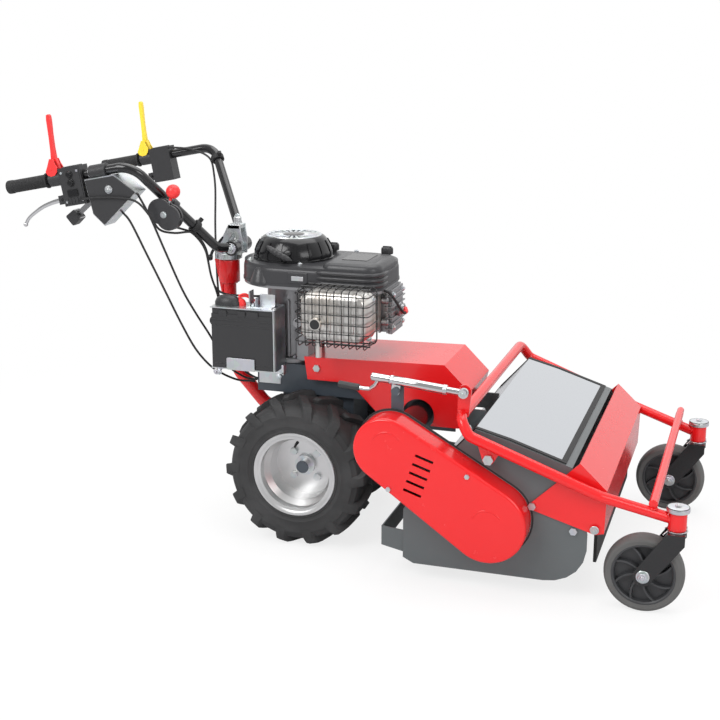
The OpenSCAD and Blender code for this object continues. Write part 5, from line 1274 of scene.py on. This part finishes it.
class MOWER_OT_deck(MowerOperator, bpy.types.Operator):
    """Builds the deck's polished top sheet, pale metal painted as the reflection on the dark top, its rim, black
    as painted shade, and the front hood's stop bolt
    """

    bl_idname = "mower.deck"
    bl_label = "Deck"

    # The deck's rear end, length and height, and the corners of its top as shares of them
    DECK_X = 338
    DECK_L = 467
    DECK_H = 376
    TOP_SHARES = [(0.872, 0.819), (0.576, 0.939), (0.39, 1.0), (0.218, 0.761), (0.12, 0.592)]
    # Half the sheet's width, the rim's inner and outer edge, and its width in front
    SHEET_HALF = 350
    RIM_IN = 341
    RIM_OUT = 355
    RIM_W = 14
    STOP_BOLT = (823, -371, 197)

    def execute(self, context):
        z0 = low("mower_deck").z
        line = [Vector((self.DECK_X + self.DECK_L * u, 0, z0 + self.DECK_H * v))
                for u, v in self.TOP_SHARES]
        self.sheet(line)
        self.rim(line)
        bolt = Shape()
        bolt.bolt(self.STOP_BOLT, OUT, 5)
        bolt.piece("hood_stop_bolt", "zinc", "front_hood")
        return {"FINISHED"}

    @staticmethod
    def lifted(line, lift):
        """The line moved outward, square to its own run."""
        out = []
        for i, p in enumerate(line):
            way = (line[min(i + 1, len(line) - 1)] - line[max(i - 1, 0)]).normalized()
            out.append(p + Vector((way.z, 0, -way.x)) * lift)
        return out

    @staticmethod
    def strip(top, under, y0, y1):
        """Loops of a sheet between two lines, from y0 to y1."""
        return [[(a.x, y0, a.z), (a.x, y1, a.z), (b.x, y1, b.z), (b.x, y0, b.z)]
                for a, b in zip(top, under)]

    def sheet(self, line):
        # Pale polished sheet laid over the dark deck top: painted reflection
        shape = Shape()
        top, under = self.lifted(line, 1.6), self.lifted(line, 0.2)
        shape.skin(self.strip(top, under, -self.SHEET_HALF, self.SHEET_HALF))
        shape.piece("deck_top_painted_reflection_sheet", "sheet_gloss", "chassis", angle=12)

    def rim(self, line):
        # Black strips on the top's side edges and front: painted shade of the grey side plates' edges, which stand
        # a little above the top
        shape = Shape()
        top, under = self.lifted(line, 3.2), self.lifted(line, 0.0)
        for y0, y1 in ((-self.RIM_OUT, -self.RIM_IN), (self.RIM_IN, self.RIM_OUT)):
            shape.skin(self.strip(top, under, y0, y1))
        a, b = top[0], top[0] + (top[1] - top[0]).normalized() * self.RIM_W
        c, d = under[0], under[0] + (under[1] - under[0]).normalized() * self.RIM_W
        shape.skin([[(q.x, y, q.z) for q in (a, b, d, c)] for y in (-self.RIM_IN, self.RIM_IN)])
        shape.piece("deck_rim_painted_shade", "black_rubber", "chassis", bevel=1)


class MOWER_OT_casters(MowerOperator, bpy.types.Operator):
    """Builds the caster frame's weldment, the caster wheels and their fittings"""

    bl_idname = "mower.casters"
    bl_label = "Casters"

    # Right half of the frame's tube: corners from the caster's head to the bow over the deck
    SIDE_RUN = [(1000, -HEAD_Y, 243), (836, -384, 290), (512, -394, 413), (486, -380, 452)]
    BOW_RUN = SIDE_RUN[2:] + [(486, 0, 452)]
    TUBE_R = 13.5
    TUBE_BEND = 30
    # Socket of a caster's stem, from its lower end
    SOCKET = [(21, 0), (22, 1), (22, 45), (21, 46), (13, 46)]
    SOCKET_Z = 216
    # Front bar: its line, its left end with the reduced tip, and its run
    BAR_X = 958
    BAR_Z = 278
    BAR_LEFT = 430
    TIP = [(1, 0), (9, 0), (10, 1), (10, 35), (11, 36)]
    BAR = [(11, 0), (11, 758), (10, 759)]
    # Ears on the frame's pivot: radius round it, and faces
    EAR_R = 14
    EAR_Y = (384, 377)
    # Arm that holds the height spindle's rod: its bolt's place, radius round it, and faces
    ROD_X = 490
    ROD_Z = 512
    ARM_R = 17
    ARM_Y = (-354, -348)
    # Caster wheel: profiles of one face, from outside inward
    TREAD = [(77.7, 22.5), (84, 24), (87.5, 25), (91, 24), (94.5, 20), (96.5, 12), (97.5, 4)]
    RIM = [(77.4, 22.5), (74, 22.5), (71, 20), (69, 6), (22, 5), (20, 25), (18, 26), (10, 26), (9, 24),
           (8.2, 24)]
    SPOKES = 8
    # Fittings of a caster's head, from below: bearing, clip, cap and nut
    BEARING = [(14, 211.5), (21.5, 211.5), (21.5, 215), (14, 215)]
    CLIP_R = 24.5
    CLIP_Z = 214.6
    CAP = [(27.3, 0), (28, 1), (28, 8), (26.5, 11.5), (22, 12.8), (6, 12.8)]
    CAP_Z = 262.4
    NUT_Z = 274
    # Distance of the axle's nuts from the wheel's middle plane
    AXLE_NUT = 34

    def execute(self, context):
        self.frame_tube()
        for side, word in SIDES.items():
            self.wheel(side, word)
            self.fittings(side, word)
        return {"FINISHED"}

    def frame_tube(self):
        path = bent_run(self.SIDE_RUN, self.TUBE_BEND, 8)[:-1]
        path += bent_run(self.BOW_RUN, self.TUBE_BEND, 8)[1:-1]
        shape = Shape()
        shape.tube(path + [Vector((p.x, -p.y, p.z)) for p in reversed(path)], self.TUBE_R, 24)
        beads = Shape()
        ear = [(546, 346)] + arc(FRAME_PIVOT, self.EAR_R, 210, 330, 6) + [(594, 384), (526, 409)]
        for s in SIDES:
            shape.lathe(self.SOCKET, Matrix.Translation((HEAD_X, s * HEAD_Y, self.SOCKET_Z)), 40)
            shape.prism(ear, *[s * y for y in self.EAR_Y])
            beads.weld((HEAD_X - 21, s * HEAD_Y, 249.5), (-0.96, -s * 0.19, 0.28), 14.5, 2.4)
            beads.weld((self.BAR_X, s * 361, 267), (0, 0.1, 1), 10, 2)
        shape.lathe(self.TIP, facing((self.BAR_X, self.BAR_LEFT, self.BAR_Z), OUT), 24)
        bar_start = self.BAR_LEFT - self.TIP[-1][1]
        shape.lathe(self.BAR, facing((self.BAR_X, bar_start, self.BAR_Z), OUT), 24)
        arm = [(473, 448), (501, 448)] + arc((self.ROD_X, self.ROD_Z), self.ARM_R, 0, 180, 12)
        shape.prism(arm, *self.ARM_Y)
        beads.tube(curve_through([(474, -355, 462), (486, -355.5, 464), (500, -355, 461)], 5), 2, 8)
        shape.piece("caster_frame_tube", "red_paint", "caster_frame", replaces=["caster_frame"], angle=32)
        beads.piece("frame_welds", "red_paint", "caster_frame")
        pin = Shape()
        pin.lathe([(6, 0), (6, 24), (10, 24), (10, 29)], facing((self.ROD_X, -350, self.ROD_Z), OUT), 24)
        pin.bolt((self.ROD_X, -373, self.ROD_Z), OUT, 4.6)
        pin.piece("spindle_arm_bolt", "zinc", "caster_frame")

    def wheel(self, side, word):
        place = facing((CASTER_X, -HEAD_Y, CASTER_Z), OUT)
        tread = Shape()
        tread.lathe(both_faces(self.TREAD), place, 72, close=True)
        tread.piece("caster_tyre_" + word, "tread_rubber", "caster_" + word, side,
                    replaces=["caster_tread_" + word], angle=30)
        hub = Shape()
        hub.lathe(both_faces(self.RIM), place, 72, close=True)
        for up in (1, -1):
            for i in range(self.SPOKES):
                hub.skin(self.spoke(2 * math.pi * i / self.SPOKES, up), place=place)
        hub.piece("caster_spokes_" + word, "hub_plastic", "caster_" + word, side,
                  replaces=["caster_hub_" + word], angle=35, bevel=0.8)

    @staticmethod
    def spoke(start, up):
        """Loops of a curved spoke on one face of the hub, that starts at an angle."""
        steps = 8
        loops = []
        for k in range(steps + 1):
            turn = start + 0.42 * (k / steps) ** 1.3
            x, y, _ = polar(17 + 56 * k / steps, turn, 0)
            n = Vector((-math.sin(turn + 0.35), math.cos(turn + 0.35), 0)) * 3.4
            foot = Vector((x, y, up * 3))
            crown = Vector((x, y, up * (23 - 4.5 * (k / steps))))
            loops.append([foot - n * 1.25, crown - n * 0.7, crown + n * 0.7, foot + n * 1.25])
        return loops

    def fittings(self, side, word):
        fork = "fork_" + word
        nut = Shape()
        for out in (1, -1):
            nut.bolt((CASTER_X, -HEAD_Y - out * self.AXLE_NUT, CASTER_Z), (0, -out, 0), 7.5)
        nut.bolt((HEAD_X, -HEAD_Y, self.NUT_Z), UP, 5, washer=False)
        nut.piece("caster_nuts_" + word, "zinc", fork, side)
        cap = Shape()
        cap.lathe(self.CAP, Matrix.Translation((HEAD_X, -HEAD_Y, self.CAP_Z)), 48)
        cap.piece("caster_cap_" + word, "zinc", fork, side)
        clip = Shape()
        ring = [(x, y, self.CLIP_Z) for x, y in arc((HEAD_X, -HEAD_Y), self.CLIP_R, -150, 150, 25)]
        first = (ring[0][0] - 10, ring[0][1] - 8, 206)
        last = (ring[-1][0] - 8, ring[-1][1] + 9, 208)
        clip.tube([first] + ring + [last], 1.5, 8)
        clip.piece("caster_clip_" + word, "zinc", fork, side)
        seal = Shape()
        seal.lathe(self.BEARING, Matrix.Translation((HEAD_X, -HEAD_Y, 0)), 36, close=True)
        seal.piece("caster_bearing_" + word, "zinc", fork, side)


class MOWER_OT_steering(MowerOperator, bpy.types.Operator):
    """Builds the steering column, the swivel's fittings, the bars and the height crank"""

    bl_idname = "mower.steering"
    bl_label = "Steering"

    # Column: corners of its tube, its radius and bend, and its collar
    COLUMN = [(-99, 0, 300), (-178, 0, 316), (-262, 0, 410), (SWIVEL_X, 0, 540), (SWIVEL_X, 0, 700)]
    COLUMN_R = 19
    COLUMN_BEND = 60
    COLLAR = [(20, -4), (29, 0), (30, 2), (30, 60), (28.5, 64), (16, 64)]
    COLLAR_Z = 670
    # Gusset behind the collar, in X and Z, and half its thickness
    GUSSET = [(-322, 734), (-300, 734), (-300, 638), (-303, 638)]
    GUSSET_HALF = 14
    # Flange at the gearbox: profile, place and circle of its bolts
    FLANGE = [(34, 0), (34, 7), (33, 8), (20, 8)]
    FLANGE_X = -98.5
    FLANGE_Z = 300
    FLANGE_BOLT_R = 24
    # Swivel: foot of its disc, count of its teeth, half width of its casting and of its pin
    DISC_Z = 736
    TEETH = 24
    CHEEK = (15, 22)
    PIN_HALF = 52
    # Sides of the yoke, in X and Z
    YOKE_FRONT = [(-252, 752), (-236, 752), (-234.4, 790), (-241, 835), (-264, 835), (-254, 800)]
    YOKE_REAR = [(-318, 753), (-298, 753), (-256, 818), (-262, 835), (-275, 835)]
    LOCK_ROD = [(-255, -14, 832), (-290, -18, 800), (-312, -25, 772), (-322, -28, 758), (-326, -30, 745)]
    LOCK_KNOB = [(-326, -30, 748), (-328, -31, 742), (-329, -31.5, 736), (-329, -31.6, 733)]
    # Handlebar: where the right tube starts, and its radius
    BAR_START = (TILT_X, -37, TILT_Z)
    BAR_R = 13
    # Height spindle: dip of its rod in degrees, height of the rod over the pivot
    ROD_DIP = 5.382
    ROD_UP = 25
    CRANK = [(-46, 0, ROD_UP), (-56, 0, 3), (-68, 0, -8), (-84, 0, -10), (-98, 0, -10)]
    SLEEVE = [(11.06, 0), (11.4, 0.6), (11.4, 136.4), (11.06, 137)]

    def execute(self, context):
        self.column()
        self.swivel()
        for side, word in SIDES.items():
            self.bar(side, word)
        self.crank()
        return {"FINISHED"}

    def column(self):
        shape = Shape()
        shape.tube(bent_run(self.COLUMN, self.COLUMN_BEND, 10), self.COLUMN_R, 28)
        shape.lathe(self.COLLAR, Matrix.Translation((SWIVEL_X, 0, self.COLLAR_Z)), 48)
        shape.lathe(self.FLANGE, facing((self.FLANGE_X, 0, self.FLANGE_Z), REARWARD), 40)
        shape.prism(self.GUSSET, -self.GUSSET_HALF, self.GUSSET_HALF)
        shape.weld((SWIVEL_X, 0, self.COLLAR_Z - 2), UP, 21, 3)
        shape.weld((-109, 0, 302), (-1, 0, 0.2), 20, 3)
        shape.piece("column_tube", "red_paint", "chassis", replaces=["steering_column"], angle=32)
        bolts = Shape()
        for i in range(3):
            y, z, _ = polar(self.FLANGE_BOLT_R, 2.1 * i + 0.6, 0)
            bolts.bolt((self.FLANGE_X - self.FLANGE[-1][1], y, self.FLANGE_Z + z), REARWARD, 4)
        bolts.piece("column_band", "silver_paint", "chassis")

    def swivel(self):
        cast = Shape()
        disc = Matrix.Translation((SWIVEL_X, 0, self.DISC_Z))
        for i in range(self.TEETH):
            turn = Matrix.Rotation(2 * math.pi * i / self.TEETH, 4, "Z")
            cast.slab((34.5, -2, 1.5), (37.4, 2, 14), disc @ turn)
        for y in (-22.4, 22.4):
            boss = facing((TILT_X, y * 0.9, TILT_Z), (0, y, 0))
            cast.lathe([(17, 0), (17, 1.4), (14, 2.4), (11, 2.4)], boss, 36)
        cast.lathe([(7, 0), (7, 6), (11, 7), (11, 20), (8, 23)], facing((TILT_X, 0, 834), UP), 24)
        cast.piece("swivel_teeth", "zinc", "swivel", bevel=1)
        self.yoke(disc)
        nuts = Shape()
        for s in SIDES:
            nuts.bolt((TILT_X, s * (self.PIN_HALF + 0.5), TILT_Z), (0, s, 0), 7)
        nuts.bolt((TILT_X, 0, 857), UP, 4)
        nuts.piece("swivel_nuts", "zinc", "swivel")
        rod = Shape()
        rod.tube(curve_through(self.LOCK_ROD, 6), 4.2, 14)
        rod.tube(self.LOCK_KNOB, [6, 8, 8, 5], 16)
        rod.piece("lock_rod", "bar_paint", "swivel")

    def yoke(self, disc):
        """Open three-sided casting that carries the bars on the swivel's disc."""
        yoke = Shape()
        foot = [(14, -58), (14, 0.6), (35, 0.6), (36.8, 2), (36.8, 16), (35, 18.4), (14, 18.4)]
        yoke.lathe(foot, disc, 56)
        inner, outer = self.CHEEK
        for s in SIDES:
            yoke.prism(self.YOKE_FRONT, s * inner, s * outer)
            yoke.prism(self.YOKE_REAR, s * inner, s * outer)
            yoke.lathe([(19, 0), (19, 7), (17.5, 8)], facing((TILT_X, s * 14.5, TILT_Z), (0, s, 0)), 32)
        yoke.slab((-276, -outer, 824), (-240, outer, 835.6))
        yoke.slab((-312, -16, 753), (-240, 16, 757))
        pin_end = (TILT_X, -self.PIN_HALF, TILT_Z)
        yoke.lathe([(8, 0), (8, 2 * self.PIN_HALF)], facing(pin_end, INWARD), 24)
        yoke.piece("swivel_yoke", "zinc", "swivel", replaces=["swivel_head"], bevel=1.4)

    def bar(self, side, word):
        shape = Shape()
        path = bent_run([self.BAR_START, BAR_KNEE, BAR_BEND], 30, 8)[:-1]
        path += bent_run([BAR_KNEE, BAR_BEND, BAR_END], 60, 12)[1:]
        shape.tube(path, self.BAR_R, 24)
        shape.lathe([(20, 0), (21, 1), (21, 28.5), (20, 29.6)], facing((TILT_X, -22.4, TILT_Z), OUT), 40)
        shape.piece("bar_tube_" + word, "bar_paint", "handlebar", side,
                    replaces=["handlebar_" + word], angle=32)

    def crank(self):
        place = Matrix.Translation(SPINDLE) @ Matrix.Rotation(math.radians(self.ROD_DIP), 4, "Y")

        def on_rod(x, way, z=self.ROD_UP):
            """Frame at x along the rod, standing along way."""
            return place @ facing((x, 0, z), way)

        rod = Shape()
        rod.lathe([(9, 0), (10, 1), (10, 46), (8, 48), (5, 48)], on_rod(-19, REARWARD), 28)
        rod.tube([place @ p for p in bent_run(self.CRANK, 8, 6)], 5, 16)
        rod.tube([place @ Vector((x, 0, self.ROD_UP)) for x in (-19, -4, 8)], 7.6, 20)
        rod.piece("crank_rod", "bright_chrome", "crank", replaces=["crank_handle"])
        grip = Shape()
        ridges = [(9 - 0.35 * (k % 2), 4 + 2.6 * k) for k in range(19)]
        grip.lathe([(6, 0), (8.4, 1)] + ridges + [(8.4, 55), (5, 56.5)], on_rod(-95, REARWARD, -10), 24)
        grip.piece("crank_grip", "black_plastic", "crank")
        sleeve = Shape()
        sleeve.lathe(self.SLEEVE, on_rod(-18, FORWARD), 40, close=True)
        sleeve.piece("spindle_sleeve", "bright_chrome", "spindle")
        collar = Shape()
        collar.lathe([(11.4, 0), (12.4, 1), (12.4, 9), (11.4, 10)], on_rod(118, FORWARD), 32)
        collar.lathe([(11.4, 0), (12.2, 1), (12.2, 6), (11.4, 7)], on_rod(-17, FORWARD), 32)
        collar.piece("spindle_collars", "zinc", "spindle")


class MOWER_OT_controls(MowerOperator, bpy.types.Operator):
    """Builds the grips, switch details, levers and the console's fittings"""

    bl_idname = "mower.controls"
    bl_label = "Controls"

    # The right bar's rear run: its end, and the run and rise of its slope
    BAR_REAR = (-812, -264, 948)
    BAR_SLOPE = (372, 72)
    # Places along that run: switch block, lever's bracket, clutch lever, console's collar
    SWITCH_S = 172
    LEVER_S = 150
    CLUTCH_S = 162
    COLLAR_S = 257.8
    # Grip: profiles of its end, one ridge and its collar, with the ridges' count and pitch
    GRIP_END = [(3, -1.5), (12, -1.5), (18, 0), (18.4, 4), (18.2, 14), (16.4, 16)]
    RIDGE = [(16.3, 17), (17.3, 18.2), (17.3, 20.4), (16.3, 21.6)]
    GRIP_COLLAR = [(16.6, 119), (20.5, 121), (21, 124), (19.5, 126), (13.2, 126)]
    RIDGES = 22
    RIDGE_PITCH = 4.6
    # Switch block: blocks and ribs of its cover, its slider, and on its face buttons and screws
    COVER = [((4, -23.6, -70), (62, -21.5, 18)), ((14, -22, 25), (52, 22, 28)),
             ((-1.6, -18, -66), (1, 18, 12))]
    COVER_RIBS = [((x, -25.4, -70), (x + 4, -21, -56)) for x in range(10, 60, 10)]
    SLIDER = ((18, -27.4, -52), (48, -23, -34))
    BUTTON_X = 33
    BUTTONS = ((6, 8), (-16, 8.5))
    SCREWS = [(x, z) for z in (13, -65) for x in (9, 57)]
    LEVERS = {RIGHT: ("stop_lever", "red_plastic"), LEFT: ("drive_lever", "yellow_plastic")}
    # Outline of a lever's cheek, and the faces of its cheek from the middle
    CHEEK = [(-18, -5), (-13, -15), (-4, -19.5), (8, -18), (17, -9), (19.5, 1), (15, 11), (11, 26),
             (1, 27), (-9, 9)]
    CHEEK_Y = (13.4, 17)
    # Clutch lever: points along its rod, from the pivot
    CLUTCH = [(-4, 0, 0), (-34, 0, -2), (-69, 0, -9), (-100, 0, -21), (-124, 0, -34), (-138, 0, -49)]
    # Console: start and length along the bar, top and height below it, shares of its faces
    CONSOLE_S = 258
    CONSOLE_L = 146
    CONSOLE_TOP = -14
    CONSOLE_H = 132
    FACE_SHARES = [(-0.05, -0.02), (0.54, -0.02), (0.9, -0.41), (0.15, -0.945), (-0.02, -0.7)]
    REAR_SHARES = [(-0.068, 0.006), (-0.05, -0.02), (0.0, -0.715), (-0.04, -0.71)]
    CONSOLE_BOLT = (-493, -294.4, 959)
    # Shift lever: pivot from the bar's end, and turn in degrees
    SHIFT = (268, 40, -47)
    SHIFT_TURN = 150
    # Throttle: lean in degrees, length to the ball's middle and the ball's radius
    THROTTLE_LEAN = 22
    THROTTLE_L = 66
    BALL_R = 19

    def execute(self, context):
        for side, word in SIDES.items():
            self.grip(side, word)
            self.switch(side, word)
            self.knuckle(side)
        self.clutch()
        self.console()
        self.shift_knob()
        self.throttle()
        return {"FINISHED"}

    def on_bar(self, s, z=0):
        """Frame at s along the bar's rear run and z over it: +X forward along the bar."""
        run, rise = self.BAR_SLOPE
        slope = Matrix.Rotation(-math.atan2(rise, run), 4, "Y")
        return Matrix.Translation(self.BAR_REAR) @ slope @ Matrix.Translation((s, 0, z))

    def grip(self, side, word):
        shape = Shape()
        ridges = [(r, h + self.RIDGE_PITCH * k) for k in range(self.RIDGES) for r, h in self.RIDGE]
        profile = self.GRIP_END + ridges + self.GRIP_COLLAR
        shape.lathe(profile, self.on_bar(0) @ facing((0, 0, 0), FORWARD), 40)
        shape.piece("grip_sleeve_" + word, "black_rubber", "handlebar", side,
                    replaces=["grip_" + word], angle=30)

    def switch(self, side, word):
        place = self.on_bar(self.SWITCH_S)
        shape = Shape()
        for first, last in self.COVER + self.COVER_RIBS:
            shape.slab(first, last, place)
        shape.piece("switch_cover_" + word, "black_plastic", "handlebar", side, bevel=1.6)
        button = Shape()
        for z, r in self.BUTTONS:
            profile = [(r + 2, 0), (r + 2, 2), (r, 2.4), (r, 6), (r - 1.5, 7.6), (0, 8)]
            button.lathe(profile, place @ facing((self.BUTTON_X, -23.4, z), OUT), 28)
        button.slab(*self.SLIDER, place)
        button.piece("switch_button_" + word, "gloss_black", "handlebar", side, bevel=0.8)
        screw = Shape()
        head = [(3.4, 0), (3.4, 1.2), (2.6, 2), (0, 2)]
        for x, z in self.SCREWS:
            screw.lathe(head, place @ facing((x, -23.5, z), OUT), 16)
        screw.piece("switch_screws_" + word, "zinc", "handlebar", side)

    def knuckle(self, side):
        """Cheeks on both sides of a lever's bracket, and their pin."""
        place = self.on_bar(self.LEVER_S, 28)
        lever, finish = self.LEVERS[side]
        inner, outer = self.CHEEK_Y
        shape = Shape()
        for s in SIDES:
            shape.prism(self.CHEEK, s * inner, s * outer, place)
        pin = [(3.6, -18), (3.9, -17.6), (3.9, 17.6), (3.6, 18)]
        shape.lathe(pin, place @ facing((0, 0, 0), INWARD), 20)
        shape.slab((1, -13.6, 20), (11, 13.6, 26), place)
        shape.piece(lever + "_knuckle", finish, lever, side, bevel=1.2)

    def clutch(self):
        place = self.on_bar(self.CLUTCH_S, -57)
        rod = Shape()
        path = [place @ p for p in curve_through(self.CLUTCH, 6)]
        rod.tube(path, [7 - 2.6 * (i / len(path)) ** 0.7 for i in range(len(path))], 16)
        bead = [(0.5, -6.5), (3.5, -5.4), (5.6, -3), (6.4, 0), (5.6, 3), (3.5, 5.4), (0.5, 6.5)]
        rod.lathe(bead, Matrix.Translation(path[-1]), 24)
        rod.lathe([(8, -5), (8.6, -4), (8.6, 4), (8, 5)], place @ facing((0, 0, 0), INWARD), 24)
        rod.piece("clutch_rod", "bright_chrome", "clutch_lever", replaces=["clutch_lever"])

    def console_outline(self, shares):
        """Points of the console along and below the bar, from shares of its length and height."""
        return [(self.CONSOLE_S + self.CONSOLE_L * u, self.CONSOLE_TOP + self.CONSOLE_H * v)
                for u, v in shares]

    def console(self):
        place = self.on_bar(0)
        face = Shape()
        face.prism(self.console_outline(self.FACE_SHARES), -30.5, -27.5, place)
        collar = [(18, 0), (19.6, 0.6), (19.6, 48.8), (18, 49.4)]
        face.lathe(collar, self.on_bar(self.COLLAR_S) @ facing((0, 0, 0), FORWARD), 40)
        face.prism(self.console_outline(self.REAR_SHARES), -27, 27, place)
        face.piece("console_face", "black_plastic", "handlebar", bevel=1)
        bolts = Shape()
        bolts.bolt(self.CONSOLE_BOLT, OUT, 5)
        bolts.piece("console_bolts", "zinc", "handlebar")

    def shift_knob(self):
        knob = Shape()
        turn = Matrix.Translation(self.SHIFT) @ Matrix.Rotation(math.radians(self.SHIFT_TURN), 4, "Y")
        end = arc((138, 12), 5, 90, 0, 4) + arc((138, -12), 5, 0, -90, 4)
        knob.prism(end + [(111, -15.5), (109, -10), (109, 10), (111, 15.5)], -16, 16, self.on_bar(0) @ turn)
        knob.piece("shift_knob", "black_plastic", "shift_lever", bevel=2)

    def throttle(self):
        ball = Shape()
        pivot = Matrix.Translation(THROTTLE) @ Matrix.Rotation(math.radians(self.THROTTLE_LEAN), 4, "Y")
        neck = [(3.4, 40), (3.8, 41), (3.8, 46), (7, 49)]
        angles = [math.pi * (0.16 + 0.84 * k / 16) for k in range(17)]
        globe = [(self.BALL_R * math.sin(a), self.THROTTLE_L - self.BALL_R * math.cos(a)) for a in angles]
        ball.lathe(neck + globe, pivot, 36)
        ball.piece("throttle_ball", "red_plastic", "throttle_lever")
        stem = Shape()
        stem.tube([pivot @ Vector((0, 0, z)) for z in (0, 18, 42)], 3.5, 14)
        stem.lathe([(9, -13), (9, 13)], pivot @ facing((0, 0, 0), INWARD), 24)
        stem.piece("throttle_stem", "zinc", "throttle_lever", replaces=["throttle_lever"])
        screw = Shape()
        place = facing((THROTTLE[0], -237, THROTTLE[2]), OUT)
        screw.lathe([(7, 0), (7, 1.5), (5.5, 3), (0, 3.2)], place, 24)
        screw.piece("throttle_screws", "zinc", "handlebar")


class MOWER_OT_cables(MowerOperator, bpy.types.Operator):
    """Lays the control cables and their clips"""

    bl_idname = "mower.cables"
    bl_label = "Cables"

    # Routes from the handlebar to the swivel, and from there to the machine
    UPPER = {
        "console_cable": [(-480, -262, 906), (-471, -262, 894), (-452, -256, 867), (-417, -240, 780),
                          (-383, -215, 684), (-351, -190, 591)],
        "second_cable": [(-430, -262, 956), (-423, -262, 942), (-395, -256, 886), (-366, -235, 793),
                         (-337, -200, 684), (-319, -160, 612)],
        "throttle_cable": [(-352, -225, 866), (-348, -214, 856), (-342, -180, 845), (-331, -145, 831),
                           (-316, -124, 806), (-306, -108, 775), (-302, -100, 740)],
        "clutch_cable": [(-590, -279, 925), (-578, -292, 928), (-560, -299, 933), (-510, -300, 938),
                         (-455, -300, 939), (-410, -297, 930), (-380, -288, 895), (-364, -265, 855),
                         (-348, -210, 838), (-324, -150, 832), (-308, -128, 806), (-300, -114, 775),
                         (-298, -108, 740)],
        "drive_cable": [(-592, 250, 1010), (-576, 246, 1014), (-520, 243, 1013), (-475, 240, 1004),
                        (-448, 237, 992), (-435, 234, 976), (-424, 222, 948), (-406, 190, 900),
                        (-380, 125, 812), (-360, 80, 745)],
    }
    LOWER = {
        "console_cable": [(-351, -190, 591), (-321, -165, 512), (-290, -140, 459), (-262, -112, 428),
                          (-232, -78, 404), (-200, -70, 402), (-184, -70, 402)],
        "second_cable": [(-319, -160, 612), (-301, -112, 540), (-286, -84, 486), (-262, -70, 438),
                         (-225, -54, 408), (-200, -50, 402), (-184, -50, 402)],
        "throttle_cable": [(-302, -100, 740), (-298, -92, 700), (-288, -82, 664), (-262, -72, 648),
                           (-220, -58, 644), (-190, -45, 642), (-157, -30.6, 642)],
        "clutch_cable": [(-298, -108, 740), (-294, -100, 700), (-286, -78, 640), (-282, -62, 560),
                         (-272, -50, 480), (-240, -34, 426), (-200, -30, 402), (-184, -30, 402)],
        "drive_cable": [(-360, 80, 745), (-350, 60, 690), (-340, 46, 620), (-326, 40, 540), (-296, 38, 470),
                        (-240, 36, 424), (-200, 36, 402), (-184, 36, 402)],
    }
    CABLE_R = 3.0
    STEPS = 7
    # Clips: side, and share of the bar's sloping run
    CLIP_SHARES = ((RIGHT, 0.24), (LEFT, 0.84))
    CLIP = [(13.4, 0), (18.5, 0), (19, 1), (19, 15), (18.5, 16), (13.4, 16)]

    def execute(self, context):
        for name, upper in self.UPPER.items():
            run = curve_through(upper + self.LOWER[name][1:], self.STEPS)
            split = self.STEPS * (len(upper) - 1)
            self.lay(name + "_upper", run[:split + 1], "cables_upper", "handlebar", "swivel")
            self.lay(name + "_lower", run[split:], "cables_lower", "swivel", "chassis")
        self.clips()
        return {"FINISHED"}

    def lay(self, name, run, replaced, first, last):
        """One part of a cable, set in the frame with no body; first and last are not used."""
        shape = Shape()
        shape.tube(run, self.CABLE_R, 12)
        obj = shape.piece(name, "black_rubber", None, replaces=[replaced])
        third = run[len(run) // 3]
        two_thirds = run[2 * len(run) // 3]
        in_frame(third)
        in_frame(two_thirds)
        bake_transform(obj)
        declare_cord(obj, run)

    def clips(self):
        clips = Shape()
        for side, share in self.CLIP_SHARES:
            a, b = [Vector((x, -side * y, z)) for x, y, z in (BAR_KNEE, BAR_BEND)]
            place = facing(a + (b - a) * share, b - a)
            clips.lathe(self.CLIP, place, 36, close=True)
            clips.slab((-5, 17, 3), (5, 30, 13), place)
        clips.piece("bar_clips", "black_rubber", "handlebar", bevel=1)


class MOWER_PT_panel(bpy.types.Panel):
    """Lists the mower's operators and values"""

    bl_label = "Flail Mower"
    bl_idname = "MOWER_PT_panel"
    bl_space_type = "VIEW_3D"
    bl_region_type = "UI"
    bl_category = "Mower"

    def draw(self, context):
        for operator in OPERATORS:
            self.layout.operator(operator.bl_idname)
        for group in (context.scene.mower_sizes, context.scene.mower_colours):
            for name in group.__annotations__:
                self.layout.prop(group, name)


OPERATORS = [
    MOWER_OT_stage,
    MOWER_OT_finishes,
    MOWER_OT_tyres,
    MOWER_OT_engine,
    MOWER_OT_muffler,
    MOWER_OT_battery,
    MOWER_OT_belt_cover,
    MOWER_OT_deck,
    MOWER_OT_casters,
    MOWER_OT_steering,
    MOWER_OT_controls,
    MOWER_OT_cables,
]
CLASSES = [MowerColours, MowerSizes, MOWER_PT_panel] + OPERATORS


def register():
    for kind in CLASSES:
        bpy.utils.register_class(kind)
    bpy.types.Scene.mower_colours = bpy.props.PointerProperty(type=MowerColours)
    bpy.types.Scene.mower_sizes = bpy.props.PointerProperty(type=MowerSizes)


def unregister():
    del bpy.types.Scene.mower_sizes
    del bpy.types.Scene.mower_colours
    for kind in reversed(CLASSES):
        bpy.utils.unregister_class(kind)


def main():
    register()
    for operator in OPERATORS:
        group, name = operator.bl_idname.split(".")
        getattr(getattr(bpy.ops, group), name)()
    bpy.context.view_layer.update()


if __name__ == "__main__":
    main()
